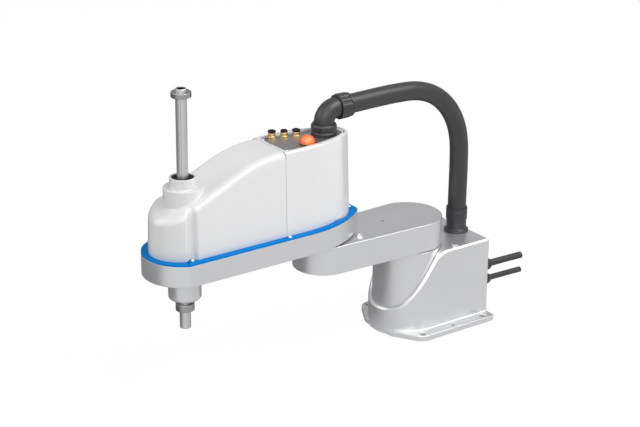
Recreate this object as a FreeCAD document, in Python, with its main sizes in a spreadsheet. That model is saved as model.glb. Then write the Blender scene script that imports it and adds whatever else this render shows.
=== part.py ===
import FreeCAD, Part
import math
import os
import Sketcher

from FreeCAD import Placement, Rotation, Vector

# Four-axis horizontal arm robot of the 3 kg, 400 mm reach class, in millimetres.
# Origin: the first joint's axis on the mounting face. +X runs along the straight arm,
# +Y is the robot's left side and +Z is up.

DRIVING_SIZES = {
    # Reach and heights
    "reach_inner": 160.0,
    "reach_outer": 240.0,
    "arm_under": 134.3,
    "arm_thick": 43.5,
    "forearm_gap": 3.0,
    "casting_thick": 31.6,
    "trim_thick": 2.6,
    "cover_rise": 124.5,
    # Base foot
    "foot_thick": 9.0,
    "foot_half": 78.0,
    "foot_front": 27.0,
    "foot_nose": 54.5,
    "foot_nose_half": 31.5,
    "foot_corner": 8.0,
    "foot_front_corner": 15.0,
    "anchor_front": 20.0,
    "anchor_rear": 98.0,
    "anchor_inset": 10.0,
    "anchor_hole": 4.5,
    "spotface": 8.5,
    "spotface_deep": 1.0,
    "dowel_back": 37.5,
    "dowel_inset": 8.0,
    "dowel_hole": 2.5,
    # Base shell
    "shell_half": 58.0,
    "shell_rear": 116.0,
    "shell_top": 130.0,
    "shell_edge": 2.0,
    "sweep_back": 36.0,
    "sweep_high_x": -7.5,
    "sweep_high_z": 115.5,
    "sweep_low_x": 36.5,
    "sweep_low_z": 54.7,
    "sweep_front_x": 62.0,
    "sweep_front_z": 39.7,
    "sweep_high_radius": 35.2,
    "sweep_low_radius": 38.0,
    "bay_half": 45.0,
    "bay_low": 18.0,
    "bay_high": 121.0,
    "bay_front": 60.0,
    "passage_radius": 14.0,
    "passage_high": 44.0,
    "panel_half": 51.0,
    "panel_low": 12.0,
    "panel_high": 127.0,
    "panel_thick": 2.5,
    # Turret that carries the first reducer
    "column_radius": 52.0,
    "column_wall": 6.0,
    "column_gap": 1.0,
    "column_clear": 1.2,
    "column_mouth": 37.0,
    "column_lip": 6.0,
    "floor_thick": 10.0,
    # First drive
    "reducer_low": 98.0,
    "reducer_thick": 24.0,
    "first_flange": 36.0,
    "first_spigot": 30.0,
    "spigot_deep": 4.0,
    "motor_big_side": 58.0,
    "motor_big_long": 66.0,
    "motor_shaft": 7.0,
    # Upper arm
    "arm_rear_radius": 52.0,
    "arm_front_radius": 45.0,
    "arm_edge": 1.2,
    "arm_rib": 6.0,
    "arm_wall": 7.0,
    "arm_roof": 9.0,
    "arm_bay_start": 50.0,
    "arm_bay_end": 116.0,
    "arm_hole_x": 49.0,
    "arm_hole": 1.6,
    "stop_x": 115.0,
    "stop_y": 30.0,
    "stop_radius": 5.5,
    "stop_rise": 2.6,
    # Forearm casting
    "forearm_half": 55.0,
    "forearm_nose": 60.0,
    "forearm_rear": -55.0,
    "forearm_side": 170.0,
    "forearm_side_x": 58.0,
    "forearm_corner": 10.0,
    "casting_wall": 7.0,
    "casting_floor": 8.0,
    "trim_ledge_wall": 15.0,
    "elbow_bore": 31.0,
    "elbow_seat": 36.1,
    "elbow_ring": 41.0,
    "second_flange": 30.0,
    "second_spigot": 24.0,
    "second_reducer_thick": 22.0,
    # Covers
    "split_x": 96.0,
    "cover_half": 45.0,
    "cover_nose_x": 6.0,
    "cover_rear": -40.0,
    "cover_side": 160.0,
    "cover_draft": 3.5,
    "cover_wall": 2.5,
    "cover_round": 10.0,
    "rear_round": 4.0,
    "rear_corner": 11.0,
    "ramp_start_x": 98.0,
    "ramp_mid_x": 175.0,
    "ramp_mid_fall": 16.5,
    "ramp_end_x": 310.0,
    "ramp_end_fall": 77.0,
    "ramp_radius": 188.0,
    "notch_x": 13.0,
    "notch_y": 44.0,
    "notch_radius": 7.0,
    "boss_radius": 27.5,
    "boss_top": 308.0,
    "mouth_radius": 18.5,
    "mouth_top": 322.6,
    "mouth_bore": 16.0,
    # Top plate and what stands on it
    "plate_front": 90.5,
    "plate_rear": -23.0,
    "plate_half_front": 34.0,
    "plate_half_rear": 18.0,
    "plate_bulge": 320.0,
    "plate_thick": 2.4,
    "plate_top": 336.6,
    "fitting_first_x": 73.0,
    "fitting_first_y": -26.0,
    "fitting_step_x": -16.0,
    "fitting_step_y": 7.5,
    "lamp_x": 44.0,
    "lamp_y": 20.6,
    "lamp_radius": 11.3,
    # Nose and drives round the quill
    "nose_radius": 23.5,
    "nose_low": 141.0,
    "nose_bore": 16.5,
    "nose_spigot": 20.0,
    "nut_outer": 13.0,
    "sleeve_gap": 0.06,
    "bearing_gap": 0.05,
    "pulley_big": 18.0,
    "pulley_small": 9.0,
    "pulley_lip": 1.6,
    "pulley_wide": 9.0,
    "spin_pulley_low": 216.6,
    "lift_pulley_low": 227.0,
    "belt_thick": 1.6,
    "belt_wide": 7.0,
    "belt_gap": 0.3,
    "motor_x": 152.0,
    "motor_y": 19.6,
    "motor_side": 38.0,
    "motor_long": 50.0,
    "bracket_low": 240.0,
    "bracket_thick": 6.0,
    "bracket_rear": 135.0,
    "bracket_front": 4.0,
    "bracket_half": 39.0,
    "post_radius": 4.0,
    "post_side": 35.0,
    # Quill
    "shaft_radius": 8.0,
    "shaft_bore": 5.75,
    "shaft_low": 96.0,
    "shaft_high": 449.0,
    "groove_radius": 1.1,
    "relief_wide": 1.0,
    "relief_deep": 0.25,
    "groove_count": 4,
    "low_collar_radius": 13.5,
    "low_collar_low": 123.0,
    "low_collar_high": 134.0,
    "top_collar_radius": 14.3,
    "top_collar_low": 437.0,
    "top_collar_high": 444.5,
    # Cable duct
    "duct_x": 97.0,
    "duct_radius": 14.25,
    "duct_fit": 0.15,
    "duct_clear": 0.75,
    "duct_high": 374.0,
    "gland_flange": 19.0,
    "gland_radius": 16.4,
    "gland_cable": 11.0,
    "gland_shelf": 150.0,
    "gland_top": 169.0,
    "swivel_radius": 18.8,
    "elbow_pipe": 14.8,
    "elbow_bend": 20.0,
    "union_radius": 18.8,
    "union_long": 22.0,
    # Leads at the rear
    "power_radius": 5.25,
    "power_y": 40.0,
    "power_z": 79.0,
    "signal_radius": 4.4,
    "signal_y": 40.0,
    "signal_z": 54.5,
    "lead_start": 119.0,
    "lead_end": 198.0,
    "lead_fit": 0.3,
    # Small screws
    "screw_head": 2.75,
    "screw_head_high": 1.8,
    "screw_shank": 1.4,
    "screw_hole": 1.5,
}

doc = FreeCAD.newDocument("scara_robot")
sheet = doc.addObject("Spreadsheet::Sheet", "Sizes")
for row, (alias, number) in enumerate(DRIVING_SIZES.items(), start=1):
    sheet.set(f"A{row}", alias)
    sheet.set(f"B{row}", str(number))
    sheet.setAlias(f"B{row}", alias)
doc.recompute()


class Size:
    """A length that knows its number and the sheet formula that it comes from."""

    def __init__(self, value, formula):
        self.value = float(value)
        self.formula = formula

    def __add__(self, other):
        other = size(other)
        return Size(self.value + other.value, f"({self.formula} + {other.formula})")

    def __sub__(self, other):
        other = size(other)
        return Size(self.value - other.value, f"({self.formula} - {other.formula})")

    def __mul__(self, other):
        other = size(other)
        return Size(self.value * other.value, f"({self.formula} * {other.formula})")

    def __truediv__(self, other):
        other = size(other)
        return Size(self.value / other.value, f"({self.formula} / {other.formula})")

    def __neg__(self):
        return Size(-self.value, f"(0 - {self.formula})")

    def __radd__(self, other):
        return size(other) + self

    def __rsub__(self, other):
        return size(other) - self

    def __rmul__(self, other):
        return size(other) * self


def size(item):
    """A plain number, or a size, as a size."""
    if isinstance(item, Size):
        return item
    if item < 0:
        return Size(item, f"(0 - {-item})")
    return Size(item, f"{item}")


def root(item):
    return Size(math.sqrt(item.value), f"sqrt({item.formula})")


class Sheet:
    """Each driving size by its name."""

    def __getattr__(self, alias):
        return Size(sheet.get(alias), f"Sizes.{alias}")


S = Sheet()
made = []


# Drawing helpers

def body(label, x=0, y=0, z=0, turn=None):
    """A new body whose placement follows the sheet."""
    item = doc.addObject("PartDesign::Body", label)
    if turn is not None:
        item.Placement = Placement(Vector(), turn)
    for axis, place in zip("xyz", (x, y, z)):
        place = size(place)
        if place.formula != "0":
            item.setExpression(f"Placement.Base.{axis}", place.formula)
    return item


def origin_feature(owner, role):
    return next(item for item in owner.Origin.OriginFeatures if item.Role == role)


def new_sketch(owner, plane, lift=0):
    sketch = owner.newObject("Sketcher::SketchObject", f"{owner.Label}_sketch")
    sketch.AttachmentSupport = (origin_feature(owner, plane), [""])
    sketch.MapMode = "FlatFace"
    lift = size(lift)
    if lift.formula != "0":
        sketch.setExpression("AttachmentOffset.Base.z", lift.formula)
    return sketch


def fix_point(constraints, bound, geometry, position, point):
    """Ties one point of a sketch to the sheet, or to an axis where its place is zero."""
    axes = (("DistanceX", -2, point[0]), ("DistanceY", -1, point[1]))
    for kind, axis, place in axes:
        if place.formula == "0":
            constraints.append(Sketcher.Constraint("PointOnObject", geometry, position, axis))
        else:
            bound.append((len(constraints), place.formula))
            value = place.value
            constraints.append(Sketcher.Constraint(kind, -1, 1, geometry, position, value))


def bind(sketch, constraints, bound):
    sketch.addConstraint(constraints)
    for index, formula in bound:
        sketch.setExpression(f"Constraints[{index}]", formula)


def outline(owner, plane, points, arcs=None, lift=0):
    """A closed outline; arcs maps an edge's number to its radius, with the centre on the
    left of the way round for a positive radius and on the right for a negative one."""
    arcs = arcs or {}
    sketch = new_sketch(owner, plane, lift)
    points = [(size(x), size(y)) for x, y in points]
    count = len(points)
    geometry = []
    ends = []
    for number in range(count):
        first = Vector(points[number][0].value, points[number][1].value, 0)
        after = points[(number + 1) % count]
        last = Vector(after[0].value, after[1].value, 0)
        if number not in arcs:
            geometry.append(Part.LineSegment(first, last))
            ends.append((1, 2))
            continue
        radius = size(arcs[number]).value
        chord = last - first
        middle = (first + last) * 0.5
        rise = math.sqrt(max(radius * radius - chord.Length ** 2 / 4, 0))
        left = Vector(-chord.y, chord.x, 0).normalize()
        centre = middle + left * rise * math.copysign(1, radius)
        circle = Part.Circle(centre, Vector(0, 0, 1), abs(radius))
        begin, end = (first, last) if radius > 0 else (last, first)
        turn_begin = math.atan2(begin.y - centre.y, begin.x - centre.x)
        turn_end = math.atan2(end.y - centre.y, end.x - centre.x)
        if turn_end < turn_begin:
            turn_end += 2 * math.pi
        geometry.append(Part.ArcOfCircle(circle, turn_begin, turn_end))
        ends.append((1, 2) if radius > 0 else (2, 1))
    sketch.addGeometry(geometry, False)
    constraints = []
    bound = []
    for number in range(count):
        after = (number + 1) % count
        fix_point(constraints, bound, number, ends[number][0], points[number])
        joint = Sketcher.Constraint("Coincident", number, ends[number][1], after, ends[after][0])
        constraints.append(joint)
        if number in arcs:
            radius = size(arcs[number])
            positive = radius if radius.value > 0 else -radius
            bound.append((len(constraints), positive.formula))
            constraints.append(Sketcher.Constraint("Radius", number, positive.value))
    bind(sketch, constraints, bound)
    return sketch


def circles(owner, plane, rounds, lift=0):
    """Circles, each given as the place of its centre and its radius."""
    sketch = new_sketch(owner, plane, lift)
    constraints = []
    bound = []
    for number, (x, y, radius) in enumerate(rounds):
        x, y, radius = size(x), size(y), size(radius)
        centre = Vector(x.value, y.value, 0)
        sketch.addGeometry(Part.Circle(centre, Vector(0, 0, 1), radius.value), False)
        fix_point(constraints, bound, number, 3, (x, y))
        bound.append((len(constraints), radius.formula))
        constraints.append(Sketcher.Constraint("Radius", number, radius.value))
    bind(sketch, constraints, bound)
    return sketch


def box_outline(owner, plane, low_x, low_y, high_x, high_y, lift=0):
    corners = [(low_x, low_y), (high_x, low_y), (high_x, high_y), (low_x, high_y)]
    return outline(owner, plane, corners, lift=lift)


def pad(owner, sketch, length, both_ways=False, reverse=False):
    feature = owner.newObject("PartDesign::Pad", f"{owner.Label}_pad")
    return extrude(feature, sketch, length, both_ways, reverse)


def pocket(owner, sketch, length, both_ways=False, reverse=False):
    feature = owner.newObject("PartDesign::Pocket", f"{owner.Label}_pocket")
    return extrude(feature, sketch, length, both_ways, reverse)


def extrude(feature, sketch, length, both_ways, reverse):
    feature.Profile = sketch
    feature.setExpression("Length", size(length).formula)
    if both_ways:
        feature.SideType = "Symmetric"
    feature.Reversed = reverse
    sketch.Visibility = False
    return feature


def revolve(owner, points, arcs=None):
    """Turns a profile of (radius, height) corners about the body's own Z axis."""
    sketch = outline(owner, "XZ_Plane", points, arcs)
    feature = owner.newObject("PartDesign::Revolution", f"{owner.Label}_turn")
    feature.Profile = sketch
    feature.ReferenceAxis = (origin_feature(owner, "Z_Axis"), [""])
    feature.Angle = 360
    return feature


def loft(owner, low, high):
    feature = owner.newObject("PartDesign::AdditiveLoft", f"{owner.Label}_loft")
    feature.Profile = low
    feature.Sections = [high]
    feature.Ruled = True
    return feature


def round_edges(owner, radius, wanted):
    """Rounds the edges of the body's last feature for which wanted says yes."""
    doc.recompute()
    last = owner.Tip
    names = []
    for number, edge in enumerate(last.Shape.Edges, start=1):
        if wanted(edge):
            names.append(f"Edge{number}")
    if not names:
        raise ValueError(f"no edge to round on {owner.Label}")
    feature = owner.newObject("PartDesign::Fillet", f"{owner.Label}_round")
    feature.Base = (last, names)
    feature.setExpression("Radius", size(radius).formula)
    return feature


def near(first, second, slack=0.01):
    return abs(first - second) < slack


def upright(edge):
    box = edge.BoundBox
    return near(box.XLength, 0) and near(box.YLength, 0) and box.ZLength > 1


def level_at(edge, height):
    box = edge.BoundBox
    return near(box.ZMin, height, 0.02) and near(box.ZMax, height, 0.02)


def keep(label, item):
    """Lists a finished sub-part under the name of its file."""
    item.Label = label
    made.append((label, item))
    return item


def turned(label, points, x=0, y=0, z=0, arcs=None, turn=None):
    item = body(label, x, y, z, turn)
    revolve(item, points, arcs)
    return keep(label, item)


def difference(label, base, tool):
    item = doc.addObject("Part::Cut", label)
    item.Base = base
    item.Tool = tool
    return keep(label, item)


def repeated(label, pattern, places):
    """One sub-part of several equal pieces, each a copy of the pattern at its place."""
    doc.recompute()
    item = doc.addObject("Part::Feature", label)
    copies = []
    for place in places:
        copy = pattern.Shape.copy()
        copy.Placement = place.multiply(copy.Placement)
        copies.append(copy)
    item.Shape = Part.makeCompound(copies)
    return keep(label, item)


def at(x, y, z, turn=None):
    x, y, z = size(x).value, size(y).value, size(z).value
    return Placement(Vector(x, y, z), turn or Rotation())


TO_REAR = Rotation(Vector(0, 1, 0), -90)

# Heights and places that several pieces share

arm_top = S.arm_under + S.arm_thick
casting_low = arm_top + S.forearm_gap
casting_high = casting_low + S.casting_thick
trim_high = casting_high + S.trim_thick
cover_high = trim_high + S.cover_rise
quill_x = S.reach_inner + S.reach_outer
column_high = S.arm_under - S.column_clear
plate_low = S.plate_top - S.plate_thick
bracket_high = S.bracket_low + S.bracket_thick

# Places along the forearm, measured from the second joint

forearm_rear = S.reach_inner + S.forearm_rear
forearm_side_x = S.reach_inner + S.forearm_side_x
split_x = S.reach_inner + S.split_x
cover_rear = S.reach_inner + S.cover_rear
ramp_start_x = S.reach_inner + S.ramp_start_x
ramp_mid_x = S.reach_inner + S.ramp_mid_x
ramp_end_x = S.reach_inner + S.ramp_end_x
plate_front = S.reach_inner + S.plate_front
plate_rear = S.reach_inner + S.plate_rear
fitting_first_x = S.reach_inner + S.fitting_first_x
lamp_x = S.reach_inner + S.lamp_x
motor_x = S.reach_inner + S.motor_x
bracket_rear = S.reach_inner + S.bracket_rear

# Places at the nose, measured from the quill's axis

cover_nose_x = quill_x + S.cover_nose_x
notch_x = quill_x + S.notch_x
bracket_front = quill_x + S.bracket_front


# Base casting: foot, equipment box and the swept shell round the turret

def base_casting():
    item = body("base_casting")
    corners = [
        (-S.shell_rear, -S.foot_half),
        (S.foot_front, -S.foot_half),
        (S.foot_nose, -S.foot_nose_half),
        (S.foot_nose, S.foot_nose_half),
        (S.foot_front, S.foot_half),
        (-S.shell_rear, S.foot_half),
    ]
    pad(item, outline(item, "XY_Plane", corners), S.foot_thick)
    front, rear_x = S.foot_front.value, -S.shell_rear.value
    round_edges(item, S.foot_corner, lambda edge: upright(edge) and near(edge.BoundBox.XMin, rear_x))
    round_edges(item, S.foot_front_corner, lambda edge: upright(edge) and near(edge.BoundBox.XMin, front))
    pad(item, circles(item, "XY_Plane", [(0, 0, S.shell_half)]), S.shell_top)
    shell = box_outline(item, "XY_Plane", -S.shell_rear, -S.shell_half, 0, S.shell_half)
    pad(item, shell, S.shell_top)
    sweep = [
        (-S.sweep_back, S.shell_top),
        (S.sweep_high_x, S.sweep_high_z),
        (S.sweep_low_x, S.sweep_low_z),
        (S.sweep_front_x, S.sweep_front_z),
        (S.sweep_front_x + 20, S.sweep_front_z),
        (S.sweep_front_x + 20, S.shell_top + 20),
        (-S.sweep_back, S.shell_top + 20),
    ]
    bends = {0: -S.sweep_high_radius, 2: S.sweep_low_radius}
    pocket(item, outline(item, "XZ_Plane", sweep, bends), S.foot_half * 3, both_ways=True)
    bore = circles(item, "XY_Plane", [(0, 0, S.column_radius + S.column_gap)], S.shell_top)
    pocket(item, bore, S.shell_top - S.floor_thick)
    rear = -S.shell_rear
    bay = box_outline(item, "YZ_Plane", -S.bay_half, S.bay_low, S.bay_half, S.bay_high, rear)
    pocket(item, bay, S.shell_rear - S.bay_front, reverse=True)
    seat = box_outline(item, "YZ_Plane", -S.panel_half, S.panel_low, S.panel_half, S.panel_high, rear)
    pocket(item, seat, S.panel_thick, reverse=True)
    passage = circles(item, "YZ_Plane", [(0, S.passage_high, S.passage_radius)], -S.bay_front)
    pocket(item, passage, S.bay_front / 2, reverse=True)
    opening = circles(item, "XY_Plane", [(-S.duct_x, 0, S.gland_cable)], S.shell_top)
    pocket(item, opening, S.shell_top - S.bay_high + 1)
    anchors = []
    for x in (S.anchor_front, -S.anchor_rear):
        for side in (1, -1):
            anchors.append((x, side * (S.foot_half - S.anchor_inset)))
    holes = [(x, y, S.anchor_hole) for x, y in anchors]
    pocket(item, circles(item, "XY_Plane", holes, S.foot_thick), S.foot_thick)
    faces = [(x, y, S.spotface) for x, y in anchors]
    pocket(item, circles(item, "XY_Plane", faces, S.foot_thick), S.spotface_deep)
    dowel_y = S.foot_half - S.dowel_inset
    dowels = [(-S.dowel_back, side * dowel_y, S.dowel_hole) for side in (1, -1)]
    pocket(item, circles(item, "XY_Plane", dowels, S.foot_thick), S.foot_thick)
    shanks = [(y, z, S.screw_hole) for y, z in panel_screw_places()]
    pocket(item, circles(item, "YZ_Plane", shanks, rear), 9, reverse=True)
    top, half = S.shell_top.value, S.shell_half.value

    def outer_top(edge):
        box = edge.BoundBox
        side = near(abs(box.YMin), half) and near(abs(box.YMax), half)
        return side and near(box.YMin, box.YMax) and near(box.ZMin, top) and near(box.ZMax, top)

    round_edges(item, S.shell_edge, outer_top)
    return keep("base_casting", item)


def panel_screw_places():
    inset = (S.panel_half - S.bay_half) / 2
    side = S.panel_half - inset
    low = S.panel_low + inset
    high = S.panel_high - inset
    return [(turn * side, z) for turn in (1, 0, -1) for z in (low, high)]


def base_column():
    inner = S.column_radius - S.column_wall
    low = S.floor_thick
    lip = column_high - S.column_lip
    return turned("base_column", [
        (inner, low), (S.column_radius, low), (S.column_radius, column_high),
        (S.column_mouth, column_high), (S.column_mouth, lip), (inner, lip),
    ])


def lead_places():
    power = (S.power_y, S.power_z, S.power_radius)
    signal = (S.signal_y, S.signal_z, S.signal_radius)
    return {"power": power, "signal": signal}


def rear_fitting_places():
    return [(-S.power_y + 22 * step, S.power_z + 22) for step in range(3)]


def base_rear_panel():
    item = body("base_rear_panel")
    gap = 0.25
    rear = -S.shell_rear
    face = box_outline(item, "YZ_Plane", gap - S.panel_half, S.panel_low + gap,
                       S.panel_half - gap, S.panel_high - gap, rear)
    pad(item, face, S.panel_thick)
    holes = [(y, z, S.screw_hole) for y, z in panel_screw_places()]
    for y, z, radius in lead_places().values():
        holes.append((y, z, radius + 1))
    for y, z in rear_fitting_places():
        holes.append((y, z, 4.1))
    pocket(item, circles(item, "YZ_Plane", holes, rear), S.panel_thick, reverse=True)
    return keep("base_rear_panel", item)


def screw_pattern(name, shank_long):
    """A pan-head screw along +Z with the underside of its head at its origin."""
    item = body(name)
    high = S.screw_head_high
    revolve(item, [
        (0, -size(shank_long)), (S.screw_shank, -size(shank_long)), (S.screw_shank, 0),
        (S.screw_head, 0), (S.screw_head, high * 0.55), (S.screw_head * 0.6, high), (0, high),
    ])
    return item


def lead_gland(name, y, z, radius):
    """A short grommet on the panel that narrows from its flange to the lead."""
    seat = S.lead_start - S.shell_rear - 0.1
    mouth = seat * 3
    return turned(f"{name}_cable_gland", [
        (0, 0), (radius + 5.5, 0), (radius + 5.5, seat / 2), (radius + 1.2, mouth),
        (radius + S.lead_fit, mouth), (radius + S.lead_fit, seat), (0, seat),
    ], -S.shell_rear, y, z, turn=TO_REAR)


def lead_route(y, z):
    """The points that a rear lead follows, straight back with a slight droop."""
    y, z = size(y).value, size(z).value
    start, end = S.lead_start.value, S.lead_end.value
    middle = (start + end) / 2
    return [Vector(-start, y, z), Vector(-middle, y, z - 0.4), Vector(-end, y, z - 1.6)]


def duct_route():
    """The points that the cable duct follows, from the elbow over the arm to the base."""
    low = S.gland_shelf.value
    back = -S.duct_x.value
    high = S.duct_high.value
    start = duct_start().value
    span = start - back
    drop = high - low
    over = [(0, -0.9), (0.2114, 0), (0.4367, 0.5), (0.636, -2.1)]
    bend = [(0.8007, -17), (0.9263, -47), (0.9974, -87)]
    points = [Vector(start, 0, high)]
    points += [Vector(start - share * span, 0, high + 0.9 + rise) for share, rise in over[1:]]
    points += [Vector(start - share * span, 0, high + rise) for share, rise in bend]
    points += [Vector(back - 0.8, 0, high - drop * 0.625), Vector(back, 0, high - drop * 0.8214)]
    return points + [Vector(back, 0, low)]


def duct_start():
    return S.reach_inner - S.elbow_bend - 6.4


def cord(label, route, radius):
    """A round cord along straight runs and the arcs that join them."""
    edges = []
    last = route[0]
    radii = []
    for before, corner, after in zip(route, route[1:], route[2:]):
        incoming = corner - before
        outgoing = after - corner
        half_turn = incoming.getAngle(outgoing) / 2
        setback = 0.45 * min(incoming.Length, outgoing.Length)
        radii.append(setback / math.tan(half_turn))
        first = corner - incoming.normalize() * setback
        final = corner + outgoing.normalize() * setback
        inward = (first + final) * 0.5 - corner
        reach = radii[-1] / math.cos(half_turn) - radii[-1]
        middle = corner + inward.normalize() * reach
        edges.append(Part.LineSegment(last, first).toShape())
        edges.append(Part.Arc(first, middle, final).toShape())
        last = final
    edges.append(Part.LineSegment(last, route[-1]).toShape())
    path = Part.Wire(edges)
    start = route[1] - route[0]
    section = Part.Wire(Part.makeCircle(radius, route[0], start))
    solid = path.makePipeShell([section], True, False)
    wanted = math.pi * radius ** 2 * path.Length
    print(label, "length", round(path.Length, 1), "radii", [round(item) for item in radii],
          "volume ratio", round(solid.Volume / wanted, 4))
    item = doc.addObject("Part::Feature", label)
    item.Shape = solid
    return keep(label, item)


def duct_gland():
    low = S.shell_top
    rise = (S.gland_shelf - low) / 5
    return turned("duct_gland", [
        (S.gland_cable, low), (S.gland_flange, low), (S.gland_flange, low + rise),
        (S.gland_radius - 1, low + rise * 1.25), (S.gland_radius - 1, S.gland_shelf),
        (S.gland_cable, S.gland_shelf),
    ], -S.duct_x)


def duct_gland_nut():
    item = body("duct_gland_nut", -S.duct_x)
    low, high = S.gland_shelf, S.gland_top
    pad(item, circles(item, "XY_Plane", [(0, 0, S.gland_radius)], low), high - low)
    hollow = circles(item, "XY_Plane", [(0, 0, S.duct_radius + S.duct_fit)], high)
    pocket(item, hollow, high - low)
    return keep("duct_gland_nut", item)


def servo(label, side, long, x, y, z, shaft_radius, shaft_long, downward=False):
    """A square servo motor that stands on z with its shaft on Z, up or down."""
    turn = Rotation(Vector(1, 0, 0), 180) if downward else None
    item = body(label, x, y, z, turn)
    half = side / 2
    pad(item, box_outline(item, "XY_Plane", -half, -half, half, half), long, reverse=True)
    round_edges(item, side / 10, upright)
    pad(item, circles(item, "XY_Plane", [(0, 0, shaft_radius)]), shaft_long)
    return keep(label, item)


def first_drive():
    low = S.reducer_low
    high = low + S.reducer_thick
    outer = S.column_radius - S.column_wall - S.bearing_gap
    turned("j1_reducer", [
        (S.motor_shaft + 0.3, low), (outer, low), (outer, high - 6), (outer - 6, high),
        (S.motor_shaft + 0.3, high),
    ])
    servo("j1_motor", S.motor_big_side, S.motor_big_long, 0, 0, low, S.motor_shaft, 14)
    face = high + 0.3
    recess = S.arm_under + S.spigot_deep
    turned("j1_output_flange", [
        (0, face), (S.first_flange, face), (S.first_flange, S.arm_under),
        (S.first_spigot, S.arm_under), (S.first_spigot, recess), (0, recess),
    ])


# Upper arm: a flat cast link with a ribbed underside

def upper_arm_casting():
    item = body("upper_arm_casting")
    reach = S.reach_inner
    slope = (S.arm_rear_radius - S.arm_front_radius) / reach
    level = root(1 - slope * slope)
    rear_x, rear_y = S.arm_rear_radius * slope, S.arm_rear_radius * level
    front_x, front_y = reach + S.arm_front_radius * slope, S.arm_front_radius * level
    tip = reach + S.arm_front_radius
    corners = [
        (rear_x, -rear_y), (front_x, -front_y), (tip, 0), (front_x, front_y),
        (rear_x, rear_y), (-S.arm_rear_radius, 0),
    ]
    front, rear = S.arm_front_radius, S.arm_rear_radius
    arcs = {1: front, 2: front, 4: rear, 5: rear}
    pad(item, outline(item, "XY_Plane", corners, arcs, S.arm_under), S.arm_thick)
    top, low = arm_top.value, S.arm_under.value
    round_edges(item, S.arm_edge, lambda edge: level_at(edge, top) or level_at(edge, low))
    first = circles(item, "XY_Plane", [(0, 0, S.first_spigot + S.bearing_gap)], S.arm_under)
    pocket(item, first, S.spigot_deep, reverse=True)
    second = circles(item, "XY_Plane", [(reach, 0, S.second_spigot + S.bearing_gap)], arm_top)
    pocket(item, second, S.spigot_deep)
    middle = (S.arm_bay_start + S.arm_bay_end) / 2
    half_rib = S.arm_rib / 2
    side = S.arm_front_radius - S.arm_wall
    for start, end in ((S.arm_bay_start, middle - half_rib), (middle + half_rib, S.arm_bay_end)):
        for near_side, far_side in ((half_rib, side), (-side, -half_rib)):
            bay = box_outline(item, "XY_Plane", start, near_side, end, far_side, S.arm_under)
            pocket(item, bay, S.arm_thick - S.arm_roof, reverse=True)
    hole = circles(item, "XY_Plane", [(S.arm_hole_x, 0, S.arm_hole)], arm_top)
    pocket(item, hole, S.arm_roof - 2)
    return keep("upper_arm_casting", item)


def arm_details():
    turned("stop_bolt", [
        (0, 0), (S.stop_radius, 0), (S.stop_radius, S.stop_rise * 0.4),
        (S.stop_radius * 0.6, S.stop_rise), (0, S.stop_rise),
    ], S.stop_x, S.stop_y, arm_top)
    spigot = arm_top - S.spigot_deep
    face = casting_low + 5
    turned("j2_output_flange", [
        (0, spigot), (S.second_spigot, spigot), (S.second_spigot, arm_top),
        (S.second_flange, arm_top), (S.second_flange, face), (0, face),
    ], S.reach_inner)


# Swivelling elbow of the cable duct, on the second joint's axis

def duct_elbow():
    item = body("duct_elbow", S.reach_inner)
    low = S.plate_top + 9
    bend_start = S.duct_high - S.elbow_bend
    ring = circles(item, "XY_Plane", [(0, 0, S.elbow_pipe)], low)
    spine = new_sketch(item, "XZ_Plane")
    start = Vector(0, low.value, 0)
    corner = Vector(0, bend_start.value, 0)
    radius = S.elbow_bend.value
    spine.addGeometry(Part.LineSegment(start, corner), False)
    centre = Vector(-radius, bend_start.value, 0)
    bend = Part.ArcOfCircle(Part.Circle(centre, Vector(0, 0, 1), radius), 0, math.pi / 2)
    spine.addGeometry(bend, False)
    high = Vector(-radius, bend_start.value + radius, 0)
    spine.addGeometry(Part.LineSegment(high, high - Vector(2, 0, 0)), False)
    zero = size(0)
    constraints = []
    bound = []
    fix_point(constraints, bound, 0, 1, (zero, low))
    fix_point(constraints, bound, 0, 2, (zero, bend_start))
    constraints.append(Sketcher.Constraint("Coincident", 1, 1, 0, 2))
    bound.append((len(constraints), S.elbow_bend.formula))
    constraints.append(Sketcher.Constraint("Radius", 1, radius))
    fix_point(constraints, bound, 2, 1, (-S.elbow_bend, S.duct_high))
    constraints.append(Sketcher.Constraint("Coincident", 1, 2, 2, 1))
    fix_point(constraints, bound, 2, 2, (-S.elbow_bend - 2, S.duct_high))
    bind(spine, constraints, bound)
    pipe = item.newObject("PartDesign::AdditivePipe", "duct_elbow_pipe")
    pipe.Profile = ring
    pipe.Spine = (spine, ["Edge1", "Edge2", "Edge3"])
    return keep("duct_elbow", item)


def ribbed_nut(label, outer, bore, long, x, z, turn, web, web_bore, ribs):
    """A round union nut with grip ribs and, at its foot, a web that closes on the pipe."""
    item = body(label, x, 0, z, turn)
    pad(item, circles(item, "XY_Plane", [(0, 0, outer - 1.2)]), long)
    rib = box_outline(item, "XY_Plane", outer - 3, -1.2, outer, 1.2)
    tooth = pad(item, rib, long * 0.8)
    doc.recompute()
    pattern = item.newObject("PartDesign::PolarPattern", f"{label}_ribs")
    pattern.Originals = [tooth]
    pattern.Axis = (origin_feature(item, "Z_Axis"), [""])
    pattern.Angle = 360
    pattern.Occurrences = ribs
    item.Tip = pattern
    pocket(item, circles(item, "XY_Plane", [(0, 0, bore)], long), long - web)
    if web.value > 0:
        pocket(item, circles(item, "XY_Plane", [(0, 0, web_bore)], long), long)
    return keep(label, item)


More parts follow.
